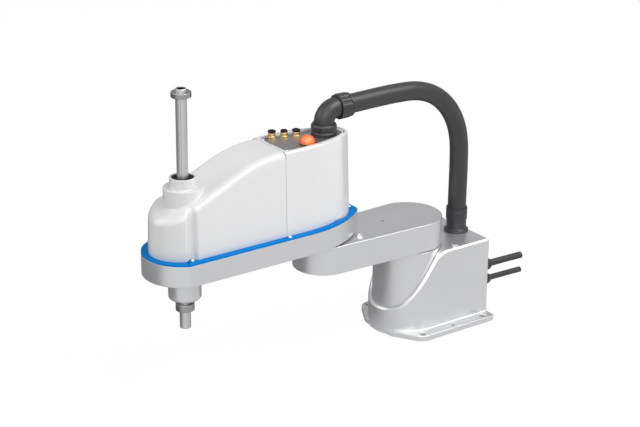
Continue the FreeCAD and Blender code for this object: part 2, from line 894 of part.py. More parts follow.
def duct_fittings():
    low = S.plate_top
    turned("duct_swivel_base", [
        (S.gland_cable, low), (S.swivel_radius, low), (S.swivel_radius, low + 5),
        (S.swivel_radius - 1.5, low + 6.5), (S.swivel_radius - 1.5, low + 8.7),
        (S.gland_cable, low + 8.7),
    ], S.reach_inner)
    seat = low + 9
    turned("elbow_lower_nut", [
        (S.elbow_pipe + S.duct_fit, seat), (S.swivel_radius, seat),
        (S.swivel_radius, seat + 7), (S.swivel_radius - 1.6, seat + 8.5),
        (S.elbow_pipe + S.duct_fit, seat + 8.5),
    ], S.reach_inner)
    face = S.reach_inner - S.elbow_bend - 2
    web = size(4)
    ribbed_nut("elbow_union_nut", S.union_radius, S.duct_radius + S.duct_clear, S.union_long,
               face, S.duct_high, TO_REAR, web, S.gland_cable, 24)


# Forearm: cast tray, trim, covers and what stands on them

def forearm_plan(item, inset, lift):
    """The forearm's outline seen from above, drawn in by inset."""
    half = S.forearm_half - inset
    nose = S.forearm_nose - inset
    side = S.forearm_side - inset
    centre_y = S.forearm_side - S.forearm_half
    rear_x = forearm_rear + inset
    run = forearm_side_x - rear_x
    rear_y = root(side * side - run * run) - centre_y
    nose_x = quill_x + root(nose * nose - half * half)
    tip = quill_x + nose
    corners = [
        (rear_x, -rear_y), (forearm_side_x, -half), (nose_x, -half), (tip, 0),
        (nose_x, half), (forearm_side_x, half), (rear_x, rear_y),
    ]
    arcs = {0: side, 2: nose, 3: nose, 5: side}
    return outline(item, "XY_Plane", corners, arcs, lift)


def forearm_casting():
    item = body("forearm_casting")
    pad(item, forearm_plan(item, size(0), casting_low), S.casting_thick)
    rear = forearm_rear.value
    round_edges(item, S.forearm_corner, lambda edge: upright(edge) and edge.BoundBox.XMin < rear + 1)
    depth = S.casting_thick - S.casting_floor
    pocket(item, forearm_plan(item, S.casting_wall, casting_high), depth)
    floor = casting_low + S.casting_floor
    rings = circles(item, "XY_Plane", [(S.reach_inner, 0, S.elbow_ring)], floor)
    pad(item, rings, depth - 4)
    hub = circles(item, "XY_Plane", [(quill_x, 0, S.nose_spigot + 8)], floor)
    pad(item, hub, depth / 2)
    for side in (1, -1):
        rib = box_outline(item, "XY_Plane", S.reach_inner + S.elbow_ring - 2, side * 18 - 2,
                          quill_x - S.nose_spigot - 4, side * 18 + 2, floor)
        pad(item, rib, depth / 3)
    bore = circles(item, "XY_Plane", [(S.reach_inner, 0, S.elbow_bore)], casting_low)
    pocket(item, bore, S.casting_thick, reverse=True)
    seat = circles(item, "XY_Plane", [(S.reach_inner, 0, S.elbow_seat)], casting_high)
    pocket(item, seat, casting_high - (casting_low + 5.3))
    quill = circles(item, "XY_Plane", [(quill_x, 0, S.nose_spigot + S.bearing_gap)], casting_low)
    pocket(item, quill, S.casting_thick, reverse=True)
    low = casting_low.value
    ends = (forearm_rear.value, quill_x.value + S.forearm_nose.value)

    def outer_low(edge):
        box = edge.BoundBox
        wide = box.YLength > 70 or box.XLength > 90
        return level_at(edge, low) and (wide or near(box.XMin, ends[0], 3) or near(box.XMax, ends[1], 1))

    round_edges(item, S.arm_edge, outer_low)
    return keep("forearm_casting", item)


def trim_plate():
    item = body("trim_plate")
    pad(item, forearm_plan(item, size(0), casting_high), S.trim_thick)
    rear = forearm_rear.value
    round_edges(item, S.forearm_corner, lambda edge: upright(edge) and edge.BoundBox.XMin < rear + 1)
    pocket(item, forearm_plan(item, S.trim_ledge_wall, trim_high), S.trim_thick)
    holes = [(x, y, S.screw_hole) for x, y in cover_screw_places()]
    pocket(item, circles(item, "XY_Plane", holes, trim_high), S.trim_thick)
    return keep("trim_plate", item)


def cover_screw_places():
    places = [(forearm_rear + 7.5, size(0))]
    for turn in (1, -1):
        places.append((split_x - 2, turn * (S.cover_half + 4.6)))
        places.append((notch_x, turn * (S.notch_y - 1)))
    return places


def front_plan(item, inset, lift, start):
    half = S.cover_half - inset
    tip = cover_nose_x + half
    corners = [
        (start, -half), (cover_nose_x, -half), (tip, 0), (cover_nose_x, half), (start, half),
    ]
    return outline(item, "XY_Plane", corners, {1: half, 2: half}, lift)


def front_form(label, inset, start):
    """The front cover's closed form, drawn in by inset: lofted sides, a ramp cut over
    them, rounded shoulders, the boss round the quill and a notch for the nose screw."""
    item = body(label)
    high = cover_high - inset
    draft = S.cover_draft
    loft(item, front_plan(item, inset, trim_high, start),
         front_plan(item, inset + draft, high + 10, start))
    ramp = [
        (start - 20, high), (ramp_start_x, high), (ramp_mid_x, high - S.ramp_mid_fall),
        (ramp_end_x, high - S.ramp_end_fall), (ramp_end_x, high + 20), (start - 20, high + 20),
    ]
    cut = outline(item, "XZ_Plane", ramp, {1: -S.ramp_radius})
    pocket(item, cut, S.cover_half * 3, both_ways=True)
    shoulder_low = (high - S.ramp_end_fall).value
    base = trim_high.value
    begin = size(start).value

    def shoulder(edge):
        box = edge.BoundBox
        if box.ZMax < shoulder_low or box.ZMin < base + 10:
            return False
        if box.YLength > 60 and near(box.XLength, 0):
            return False
        return abs(box.YMin) > 5 and box.XMax > begin + 1

    round_edges(item, S.cover_round - inset, shoulder)
    foot = S.boss_top - 45
    pad(item, circles(item, "XY_Plane", [(quill_x, 0, S.boss_radius - inset)], foot),
        S.boss_top - inset - foot)
    mouth = S.mouth_radius if inset.value == 0 else S.mouth_bore
    top = S.mouth_top if inset.value == 0 else S.mouth_top + 1
    pad(item, circles(item, "XY_Plane", [(quill_x, 0, mouth)], foot), top - foot)
    notch = circles(item, "XY_Plane", [
        (notch_x, S.notch_y, S.notch_radius + inset),
        (notch_x, -S.notch_y, S.notch_radius + inset),
    ], trim_high)
    pocket(item, notch, S.cover_rise, reverse=True)
    return item


def rear_plan(item, inset, lift, start):
    """The rear cover's outline: a narrow flat back, rounded corners and bowed flanks."""
    half = S.cover_half - inset
    side = S.cover_side - inset
    corner = S.rear_corner - inset
    centre_y = S.cover_side - S.cover_half
    rear_x = cover_rear + inset
    run = forearm_side_x - rear_x - corner
    reach = side - corner
    rise = root(reach * reach - run * run)
    flat_y = rise - centre_y
    meet_x = forearm_side_x - run * side / reach
    meet_y = rise * side / reach - centre_y
    corners = [
        (start, -half), (start, half), (forearm_side_x, half), (meet_x, meet_y),
        (rear_x, flat_y), (rear_x, -flat_y), (meet_x, -meet_y), (forearm_side_x, -half),
    ]
    arcs = {2: side, 3: corner, 5: corner, 6: side}
    return outline(item, "XY_Plane", corners, arcs, lift)


def rear_form(label, inset, start):
    """The rear cover's closed form, drawn in by inset."""
    item = body(label)
    high = cover_high - inset
    loft(item, rear_plan(item, inset, trim_high, start + 5),
         rear_plan(item, inset + S.cover_draft, high, start + 5))
    beyond = box_outline(item, "XY_Plane", start, -60, start + 10, 60, high)
    pocket(item, beyond, S.cover_rise)
    if inset.value == 0:
        top = high.value
        face = size(start).value
        round_edges(item, S.rear_round,
                    lambda edge: level_at(edge, top) and edge.BoundBox.XMin < face - 1)
    return item


def plate_plan(item, inset, lift):
    front = plate_front - inset
    rear = plate_rear + inset
    corners = [
        (rear, inset - S.plate_half_rear), (front, inset - S.plate_half_front),
        (front, S.plate_half_front - inset), (rear, S.plate_half_rear - inset),
    ]
    return outline(item, "XY_Plane", corners, {0: S.plate_bulge, 2: S.plate_bulge}, lift)


def covers():
    seam = 0.15
    shell = front_form("front_cover_form", size(0), split_x + seam)
    hollow = front_form("front_cover_hollow", S.cover_wall, split_x - 30)
    difference("front_cover", shell, hollow)
    shell = rear_form("rear_cover_form", size(0), split_x - seam)
    recess = plate_plan(shell, size(-0.4), cover_high)
    pocket(shell, recess, cover_high - plate_low)
    window = plate_plan(shell, size(6), cover_high)
    pocket(shell, window, cover_high - plate_low + 10)
    hollow = rear_form("rear_cover_hollow", S.cover_wall, split_x + 30)
    floor = box_outline(hollow, "XY_Plane", cover_rear - 10, -60, split_x + 40, 60,
                        plate_low - S.cover_wall)
    pocket(hollow, floor, 30, reverse=True)
    difference("rear_cover", shell, hollow)


def top_plate():
    item = body("top_plate")
    pad(item, plate_plan(item, size(0), plate_low), S.plate_thick)
    holes = [(x, y, 4.1) for x, y in fitting_places()]
    holes.append((lamp_x, S.lamp_y, size(6)))
    holes.append((S.reach_inner, 0, S.gland_cable))
    for x, y in plate_screw_places():
        holes.append((x, y, S.screw_hole))
    pocket(item, circles(item, "XY_Plane", holes, S.plate_top), S.plate_thick)
    return keep("top_plate", item)


def plate_screw_places():
    places = []
    for turn in (1, -1):
        places.append((plate_front - 4.5, turn * (S.plate_half_front - 5)))
        places.append((plate_rear + 5, turn * (S.plate_half_rear - 3.5)))
    return places


def fitting_places():
    places = []
    for step in range(3):
        x = fitting_first_x + S.fitting_step_x * step
        places.append((x, S.fitting_first_y + S.fitting_step_y * step))
    return places


def fitting_pattern():
    """A push-in air fitting: shank through the plate, hexagon, barrel and, apart, a collar."""
    item = body("fitting_pattern")
    revolve(item, [
        (1.8, -2.3), (4, -2.3), (4, 0), (5.8, 0), (5.8, 4.5), (4.4, 5.2), (4.4, 6.4), (5.4, 7.2),
        (5.4, 10), (3.4, 10), (3.4, 3), (1.8, 3),
    ])
    ring = body("collar_pattern")
    revolve(ring, [
        (2, 10.1), (5.6, 10.1), (5.6, 12.2), (5, 13), (2, 13),
    ])
    return item, ring


def plate_pieces():
    top = S.plate_top
    fitting, ring = fitting_pattern()
    places = [at(x, y, top) for x, y in fitting_places()]
    repeated("air_fitting_bodies", fitting, places)
    repeated("air_fitting_collars", ring, places)
    rear = [at(-S.shell_rear, y, z, TO_REAR) for y, z in rear_fitting_places()]
    repeated("rear_air_fittings", fitting, rear)
    repeated("rear_fitting_collars", ring, rear)
    flush = screw_pattern("plate_screw", S.plate_thick - 0.1)
    repeated("top_plate_screws", flush, [at(x, y, top) for x, y in plate_screw_places()])
    short = screw_pattern("panel_screw", 4)
    panel = [at(-S.shell_rear, y, z, TO_REAR) for y, z in panel_screw_places()]
    repeated("rear_panel_screws", short, panel)
    turned("lamp_base", [
        (0, -2.3), (5.8, -2.3), (5.8, 0), (S.lamp_radius, 0), (S.lamp_radius, 2), (0, 2),
    ], lamp_x, S.lamp_y, top)
    glow = S.lamp_radius - 0.3
    turned("lamp_lens", [
        (0, 2), (glow, 2), (glow, 6), (glow * 0.72, 11.5), (0, 13),
    ], lamp_x, S.lamp_y, top, arcs={2: size(9)})
    ledge = [at(x, y, trim_high) for x, y in cover_screw_places()]
    repeated("cover_screws", screw_pattern("cover_screw", 2), ledge)


# Drives in the forearm

def second_drive():
    low = casting_low + 5.3
    high = low + S.second_reducer_thick
    outer = S.elbow_seat - S.bearing_gap
    turned("j2_reducer", [
        (S.motor_shaft - 1.7, low), (outer, low), (outer, high - 5), (outer - 5, high),
        (S.motor_shaft - 1.7, high),
    ], S.reach_inner)
    servo("j2_motor", S.motor_side, S.motor_long + 6, S.reach_inner, 0, high,
          S.motor_shaft - 2, 12, downward=True)


def nose_housing():
    item = body("nose_housing", quill_x)
    revolve(item, [
        (S.nose_bore, S.nose_low + 5), (S.nose_bore - 5, S.nose_low + 3),
        (S.nose_bore - 5, S.nose_low), (S.nose_radius - 3, S.nose_low),
        (S.nose_radius, S.nose_low + 3), (S.nose_radius, casting_low),
        (S.nose_spigot, casting_low), (S.nose_spigot, casting_low + S.casting_floor),
        (S.nose_bore, casting_low + S.casting_floor),
    ], arcs={3: size(3)})
    return keep("nose_housing", item)


def toothed_pulley(label, radius, bore, low, x, y, teeth):
    """A belt pulley with teeth between two lips."""
    item = body(label, x, y, low)
    wide = S.pulley_wide
    lip = size(0.8)
    pad(item, circles(item, "XY_Plane", [(0, 0, radius)]), wide)
    gap = circles(item, "XY_Plane", [(radius + 0.35, 0, 0.95)], wide)
    notch = pocket(item, gap, wide)
    doc.recompute()
    pattern = item.newObject("PartDesign::PolarPattern", f"{label}_teeth")
    pattern.Originals = [notch]
    pattern.Axis = (origin_feature(item, "Z_Axis"), [""])
    pattern.Angle = 360
    pattern.Occurrences = teeth
    item.Tip = pattern
    pad(item, circles(item, "XY_Plane", [(0, 0, radius + S.pulley_lip)]), lip)
    pad(item, circles(item, "XY_Plane", [(0, 0, radius + S.pulley_lip)], wide - lip), lip)
    pocket(item, circles(item, "XY_Plane", [(0, 0, bore)], wide), wide)
    return keep(label, item)


def belt(label, low, motor_y):
    """A flat loop round both pulleys of one drive."""
    item = body(label, z=low)
    inner_big = S.pulley_big + S.belt_gap
    inner_small = S.pulley_small + S.belt_gap
    outer = belt_loop(item, inner_big + S.belt_thick, inner_small + S.belt_thick, motor_y)
    pad(item, outer, S.belt_wide)
    inner = belt_loop(item, inner_big, inner_small, motor_y, S.belt_wide)
    pocket(item, inner, S.belt_wide)
    return keep(label, item)


def belt_loop(item, big, small, far_y, lift=0):
    """Arcs round both pulleys and the outer tangents that join them, counter-clockwise."""
    run_x, run_y = quill_x - motor_x, -far_y
    span = root(run_x * run_x + run_y * run_y)
    lean = (big - small) / span
    level = root(1 - lean * lean)
    ways = {}
    for side in (1, -1):
        way_x = (lean * run_x + side * level * run_y) / -span
        way_y = (side * level * run_x - lean * run_y) / span
        ways[side] = (way_x, way_y)
    corners = [
        (quill_x + ways[-1][0] * big, ways[-1][1] * big),
        (quill_x + run_x / span * big, run_y / span * big),
        (quill_x + ways[1][0] * big, ways[1][1] * big),
        (motor_x + ways[1][0] * small, far_y + ways[1][1] * small),
        (motor_x - run_x / span * small, far_y - run_y / span * small),
        (motor_x + ways[-1][0] * small, far_y + ways[-1][1] * small),
    ]
    return outline(item, "XY_Plane", corners, {0: big, 1: big, 3: small, 4: small}, lift)


def drive_bracket():
    item = body("drive_bracket")
    plate = box_outline(item, "XY_Plane", bracket_rear, -S.bracket_half,
                        bracket_front, S.bracket_half, S.bracket_low)
    pad(item, plate, S.bracket_thick)
    end = circles(item, "XY_Plane", [(quill_x, 0, S.nut_outer + 14)], S.bracket_low)
    pad(item, end, S.bracket_thick)
    floor = casting_low + S.casting_floor
    posts = []
    for x in (bracket_rear + 4.5, bracket_front - 5):
        for side in (1, -1):
            posts.append((x, side * S.post_side, S.post_radius))
    pad(item, circles(item, "XY_Plane", posts, floor), S.bracket_low - floor)
    holes = [(quill_x, 0, S.nut_outer + 5 + S.bearing_gap)]
    for side in (1, -1):
        holes.append((motor_x, side * S.motor_y, S.pulley_small + 2.5))
    pocket(item, circles(item, "XY_Plane", holes, bracket_high), S.bracket_thick)
    return keep("drive_bracket", item)


def quill_drives():
    bore = S.shaft_radius + S.sleeve_gap
    outer = S.nut_outer
    top = S.spin_pulley_low + S.pulley_wide
    seat = S.spin_pulley_low
    turned("spline_nut", [
        (bore, S.nose_low + 6), (outer, S.nose_low + 6), (outer, top), (bore, top),
    ], quill_x)
    toothed_pulley("spline_nut_pulley", S.pulley_big, outer + 0.02, seat, quill_x, 0, 32)
    rise = S.lift_pulley_low
    turned("screw_nut", [
        (bore, rise), (outer, rise), (outer, bracket_high + 24), (bore, bracket_high + 24),
    ], quill_x)
    toothed_pulley("screw_nut_pulley", S.pulley_big, outer + 0.02, rise, quill_x, 0, 32)
    ring = body("bearing_pattern")
    revolve(ring, [
        (outer + S.bearing_gap, 0), (S.nose_bore - 0.05, 0), (S.nose_bore - 0.05, 8),
        (outer + S.bearing_gap, 8),
    ])
    places = [at(quill_x, 0, S.nose_low + 8), at(quill_x, 0, casting_low - 2)]
    repeated("spline_bearings", ring, places)
    turned("screw_bearing", [
        (outer + S.bearing_gap, 0), (outer + 5, 0), (outer + 5, S.bracket_thick),
        (outer + 8, S.bracket_thick), (outer + 8, S.bracket_thick + 3),
        (outer + S.bearing_gap, S.bracket_thick + 3),
    ], quill_x, 0, S.bracket_low)
    motors = (("spin", S.motor_y, S.spin_pulley_low), ("lift", -S.motor_y, S.lift_pulley_low))
    for name, y, low in motors:
        high = bracket_high
        servo(f"{name}_motor", S.motor_side, S.motor_long, motor_x, y, high,
              size(4), bracket_high - S.bracket_low, downward=True)
        toothed_pulley(f"{name}_motor_pulley", S.pulley_small, size(2.5), low, motor_x, y, 16)
        belt(f"{name}_belt", low + 1, y)
    turned("shaft_seal", [
        (S.shaft_radius + 0.35, -9), (S.mouth_bore - 0.05, -9), (S.mouth_bore - 0.05, -2.5),
        (S.mouth_bore - 3, -2.5), (S.shaft_radius + 2, -5), (S.shaft_radius + 0.35, -4),
    ], quill_x, 0, S.mouth_top)


# Quill: hollow ball screw spline shaft with a stop collar at each end

def spline_shaft():
    item = body("spline_shaft", quill_x)
    low, high = S.shaft_low, S.shaft_high
    relief_high = S.low_collar_low - 0.6
    relief_low = relief_high - S.relief_wide
    waist = S.shaft_radius - S.relief_deep
    revolve(item, [
        (S.shaft_bore, low), (S.shaft_radius - 0.6, low), (S.shaft_radius, low + 0.6),
        (S.shaft_radius, relief_low), (waist, relief_low), (waist, relief_high),
        (S.shaft_radius, relief_high), (S.shaft_radius, high - 0.6),
        (S.shaft_radius - 0.6, high), (S.shaft_bore, high),
    ])
    start = S.low_collar_high + 2
    end = S.top_collar_low - 2
    off = (S.shaft_radius + 0.4) * math.sqrt(0.5)
    round_hole = circles(item, "XY_Plane", [(off, off, S.groove_radius)], end)
    groove = pocket(item, round_hole, end - start)
    doc.recompute()
    pattern = item.newObject("PartDesign::PolarPattern", "spline_grooves")
    pattern.Originals = [groove]
    pattern.Axis = (origin_feature(item, "Z_Axis"), [""])
    pattern.Angle = 360
    pattern.Occurrences = int(S.groove_count.value)
    item.Tip = pattern
    return keep("spline_shaft", item)


def collar(label, radius, low, high):
    item = body(label, quill_x)
    bore = S.shaft_radius + 0.02
    revolve(item, [
        (bore, low), (radius - 0.8, low), (radius, low + 0.8), (radius, high - 0.8),
        (radius - 0.8, high), (bore, high),
    ])
    slit = box_outline(item, "XY_Plane", 0, -0.6, -(radius + 1), 0.6, high)
    pocket(item, slit, high - low)
    return keep(label, item)


def quill():
    spline_shaft()
    collar("lower_collar", S.low_collar_radius, S.low_collar_low, S.low_collar_high)
    collar("upper_collar", S.top_collar_radius, S.top_collar_low, S.top_collar_high)


def base():
    base_casting()
    base_column()
    base_rear_panel()
    for name, (y, z, radius) in lead_places().items():
        lead_gland(name, y, z, radius)
        cord(f"{name}_cable", lead_route(y, z), radius.value)
    duct_gland()
    duct_gland_nut()
    cord("duct_hose", duct_route(), S.duct_radius.value)
    turned("breather_plug", [
        (0, 0), (5.4, 0), (5.4, 2.2), (4.2, 3.4), (0, 3.4),
    ], -S.duct_x + 44, S.shell_half - 8, S.shell_top)
    first_drive()


def write_parts():
    doc.recompute()
    for item in doc.Objects:
        if "Invalid" in item.State or "Error" in item.State:
            raise RuntimeError(f"{item.Label} failed: {item.State}")
    os.makedirs("parts", exist_ok=True)
    for label, item in made:
        if item.Shape.isNull() or not item.Shape.isValid():
            raise RuntimeError(f"{label} has no valid shape")
        item.Shape.exportStep(f"parts/{label}.step")
    print(len(made), "sub-parts")


base()
upper_arm_casting()
arm_details()
duct_elbow()
duct_fittings()
forearm_casting()
trim_plate()
covers()
top_plate()
plate_pieces()
second_drive()
nose_housing()
drive_bracket()
quill_drives()
quill()
write_parts()
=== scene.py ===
"""The look of a four-axis horizontal arm robot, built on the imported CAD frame.

Lengths are written in millimetres, as on a drawing, and become metres when a mesh is made.
+X runs along the straight arm, +Y is the near side of the photograph and +Z is up.
"""
import logging
import math
from dataclasses import dataclass, field
from enum import Enum
from typing import Callable, Optional, Sequence, Union

import bmesh
import bpy
import numpy as np
from mathutils import Matrix, Vector


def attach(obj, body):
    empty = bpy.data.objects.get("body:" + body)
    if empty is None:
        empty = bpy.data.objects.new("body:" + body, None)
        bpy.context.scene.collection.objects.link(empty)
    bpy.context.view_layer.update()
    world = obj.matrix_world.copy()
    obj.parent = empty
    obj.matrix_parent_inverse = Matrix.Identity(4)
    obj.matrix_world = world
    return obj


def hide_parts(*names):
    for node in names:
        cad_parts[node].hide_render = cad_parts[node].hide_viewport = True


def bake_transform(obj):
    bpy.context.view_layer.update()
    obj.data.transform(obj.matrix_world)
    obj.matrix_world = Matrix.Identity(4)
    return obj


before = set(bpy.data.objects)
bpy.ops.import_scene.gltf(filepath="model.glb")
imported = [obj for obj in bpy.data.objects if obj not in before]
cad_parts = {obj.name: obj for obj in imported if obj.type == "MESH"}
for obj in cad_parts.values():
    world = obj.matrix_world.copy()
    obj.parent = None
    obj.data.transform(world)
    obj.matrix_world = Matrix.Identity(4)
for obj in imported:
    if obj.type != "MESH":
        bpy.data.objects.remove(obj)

MM = 0.001
LOG = logging.getLogger("robot")
Array = np.ndarray
Colour = tuple[float, float, float]


class Body(Enum):
    """The rigid bodies that carry new pieces, by the frame's names."""

    BASE = "base"
    UPPER = "upper_arm"
    FOREARM = "forearm"
    QUILL = "quill"


# Shader sums

class Wire:
    """One output of a node tree that can be used in sums."""

    def __init__(self, socket: bpy.types.NodeSocket) -> None:
        """Keeps the output socket and its tree."""
        self.socket = socket
        self.tree = socket.id_data

    def _sum(self, operation: str, first: object, second: object) -> "Wire":
        """Adds one Math node that works on two wires or numbers."""
        node = add_node(self.tree, "ShaderNodeMath", {"operation": operation},
                        {0: first, 1: second})
        return Wire(node.outputs[0])

    def __add__(self, other: object) -> "Wire":
        """This plus other."""
        return self._sum("ADD", self, other)

    def __radd__(self, other: object) -> "Wire":
        """Other plus this."""
        return self._sum("ADD", other, self)

    def __sub__(self, other: object) -> "Wire":
        """This minus other."""
        return self._sum("SUBTRACT", self, other)

    def __rsub__(self, other: object) -> "Wire":
        """Other minus this."""
        return self._sum("SUBTRACT", other, self)

    def __mul__(self, other: object) -> "Wire":
        """This times other."""
        return self._sum("MULTIPLY", self, other)

    def __rmul__(self, other: object) -> "Wire":
        """Other times this."""
        return self._sum("MULTIPLY", other, self)

    def __pow__(self, other: object) -> "Wire":
        """This to the power of other."""
        return self._sum("POWER", self, other)


def feed(socket: bpy.types.NodeSocket, value: object) -> None:
    """Links a wire to an input socket, or sets the socket to a number, vector or colour."""
    if isinstance(value, Wire):
        socket.id_data.links.new(value.socket, socket)
    elif socket.type == "RGBA":
        socket.default_value = (*value, 1.0)
    else:
        socket.default_value = value


def add_node(tree: bpy.types.NodeTree, kind: str, settings: Optional[dict] = None,
             inputs: Optional[dict] = None) -> bpy.types.Node:
    """Adds any node.

    Args:
        tree: The node tree.
        kind: The node's type.
        settings: Attributes that are set first; "stops" sets a colour ramp.
        inputs: Values or wires for its sockets, by name or number.

    Returns:
        The new node.
    """
    node = tree.nodes.new(kind)
    for key, value in (settings or {}).items():
        if key == "stops":
            while len(node.color_ramp.elements) < len(value):
                node.color_ramp.elements.new(0.5)
            for element, (place, colour) in zip(node.color_ramp.elements, value):
                element.position = place
                element.color = (*colour, 1.0)
        else:
            setattr(node, key, value)
    for key, value in (inputs or {}).items():
        feed(node.inputs[key], value)
    return node


class Shader:
    """A material in the making: one principled surface and the nodes that vary it."""

    def __init__(self, name: str) -> None:
        """Starts a material of this name with one principled surface."""
        self.material = bpy.data.materials.new(name)
        self.material.use_nodes = True
        self.tree = self.material.node_tree
        self.surface = self.tree.nodes["Principled BSDF"]
        self.place = Wire(self.node("ShaderNodeTexCoord").outputs["Object"])

    def node(self, kind: str, settings: Optional[dict] = None,
             inputs: Optional[dict] = None) -> bpy.types.Node:
        """Adds any node to this material, as add_node does."""
        return add_node(self.tree, kind, settings, inputs)

    def stretched(self, scale: Sequence[float], centre: Sequence[float] = (0, 0, 0)) -> Wire:
        """Object coordinates, measured from a centre in metres and scaled along each axis."""
        shift = tuple(-c * s for c, s in zip(centre, scale))
        node = self.node("ShaderNodeMapping", inputs={
            "Vector": self.place, "Location": shift, "Scale": scale})
        return Wire(node.outputs["Vector"])

    def noise(self, scale: float, detail: float = 3.0, place: Optional[Wire] = None) -> Wire:
        """A cloud pattern from 0 to 1.

        Args:
            scale: How many clouds to a metre.
            detail: How many finer layers.
            place: Where the pattern is read, or None for plain object coordinates.

        Returns:
            The pattern's strength.
        """
        node = self.node("ShaderNodeTexNoise", inputs={
            "Vector": place or self.place, "Scale": scale, "Detail": detail})
        return Wire(node.outputs[0])

    def ramp(self, value: Wire, stops: Sequence[tuple[float, Colour]]) -> Wire:
        """A colour that follows a value from stop to stop."""
        node = self.node("ShaderNodeValToRGB", {"stops": stops}, {"Fac": value})
        return Wire(node.outputs["Color"])

    def mix(self, share: Wire, low: Union[Wire, Colour], high: Union[Wire, Colour]) -> Wire:
        """A blend of two colours: share 0 gives low and share 1 gives high."""
        node = self.node("ShaderNodeMix", {"data_type": "RGBA"},
                         {"Factor": share, 6: low, 7: high})
        return Wire(node.outputs[2])

    def paint(self, values: dict) -> None:
        """Sets the surface's sockets, by name, to numbers, colours or wires."""
        for key, value in values.items():
            feed(self.surface.inputs[key], value)

    def bump(self, height: Wire, strength: float, distance: float) -> None:
        """Raises the normal by a height pattern, whose value 1 stands for distance metres."""
        node = self.node("ShaderNodeBump", inputs={
            "Height": height, "Strength": strength, "Distance": distance})
        self.paint({"Normal": Wire(node.outputs["Normal"])})


def shade(colour: Colour, factor: float) -> Colour:
    """A colour made lighter or darker by a factor."""
    return tuple(min(1.0, c * factor) for c in colour)


# Finishes

@dataclass(frozen=True)
class Paint:
    """Sprayed or moulded colour with a fine grain and faint clouds."""

    name: str
    colour: Colour
    roughness: float
    grain: float = 900.0
    grain_height: float = 0.00004
    clouds: float = 0.04
    metallic: float = 0.0
    coat: float = 0.0
    specular: float = 0.5

    def material(self) -> bpy.types.Material:
        """Builds the material: clouds in colour and gloss, grain in the normal."""
        shader = Shader(self.name)
        cloud = shader.noise(14.0, 4.0)
        speck = shader.noise(self.grain, 2.0)
        low, high = shade(self.colour, 1 - self.clouds), shade(self.colour, 1 + self.clouds)
        shader.paint({
            "Base Color": shader.mix(cloud * 0.8 + speck * 0.2, low, high),
            "Roughness": cloud * 0.08 + speck * 0.04 + (self.roughness - 0.06),
            "Metallic": self.metallic, "Coat Weight": self.coat, "Coat Roughness": 0.06,
            "Specular IOR Level": self.specular,
        })
        shader.bump(speck, 0.35, self.grain_height)
        return shader.material


@dataclass(frozen=True)
class Metal:
    """Turned, ground or brushed metal with fine lines along one axis."""

    name: str
    colour: Colour
    roughness: float
    stretch: tuple[float, float, float] = (60.0, 60.0, 4000.0)
    line_height: float = 0.00002
    tarnish: float = 0.12

    def material(self) -> bpy.types.Material:
        """Builds the material: fine lines in gloss and normal, a faint tarnish in colour."""
        shader = Shader(self.name)
        line = shader.noise(1.0, 2.0, shader.stretched(self.stretch))
        cloud = shader.noise(35.0, 3.0)
        dark = shade(self.colour, 1 - self.tarnish)
        shader.paint({
            "Base Color": shader.mix(cloud * 0.5 + line * 0.5, dark, self.colour),
            "Roughness": line * 0.14 + cloud * 0.06 + (self.roughness - 0.1),
            "Metallic": 1.0,
        })
        shader.bump(line, 0.4, self.line_height)
        return shader.material


@dataclass(frozen=True)
class Glow:
    """A translucent lamp cap that glows a little, with painted light: colour and glow are
    brightest round a point inside the cap towards its near side, a painted highlight, and fall to
    painted shade on its far side and rim.
    """

    name: str
    rim: Colour
    painted_highlight: Colour
    centre: tuple[float, float, float]
    reach: float
    strength: float

    def material(self) -> bpy.types.Material:
        """Builds the material: colour and glow fall off with the distance from that point, from
        painted highlight to painted shade.
        """
        shader = Shader(self.name)
        place = shader.stretched((1.0, 1.0, 1.0), self.centre)
        span = shader.node("ShaderNodeVectorMath", {"operation": "LENGTH"}, {"Vector": place})
        # painted light: nearness to the point set off the cap's axis towards the near side
        # brightens the middle of the cap's visible face
        near = 1.0 - Wire(span.outputs["Value"]) * (1.0 / self.reach)
        facet = shader.noise(260.0, 2.0)
        painted_light_share = near * 0.85 + facet * 0.3
        tone = shader.ramp(painted_light_share, [(0.0, self.rim), (0.45, shade(self.rim, 1.15)),
                                  (1.0, self.painted_highlight)])
        shader.paint({
            "Base Color": tone, "Roughness": facet * 0.05 + 0.12, "Coat Weight": 0.6,
            "Emission Color": tone, "Emission Strength": self.strength,
            "Subsurface Weight": 0.15, "Subsurface Radius": (0.004, 0.002, 0.001),
        })
        return shader.material


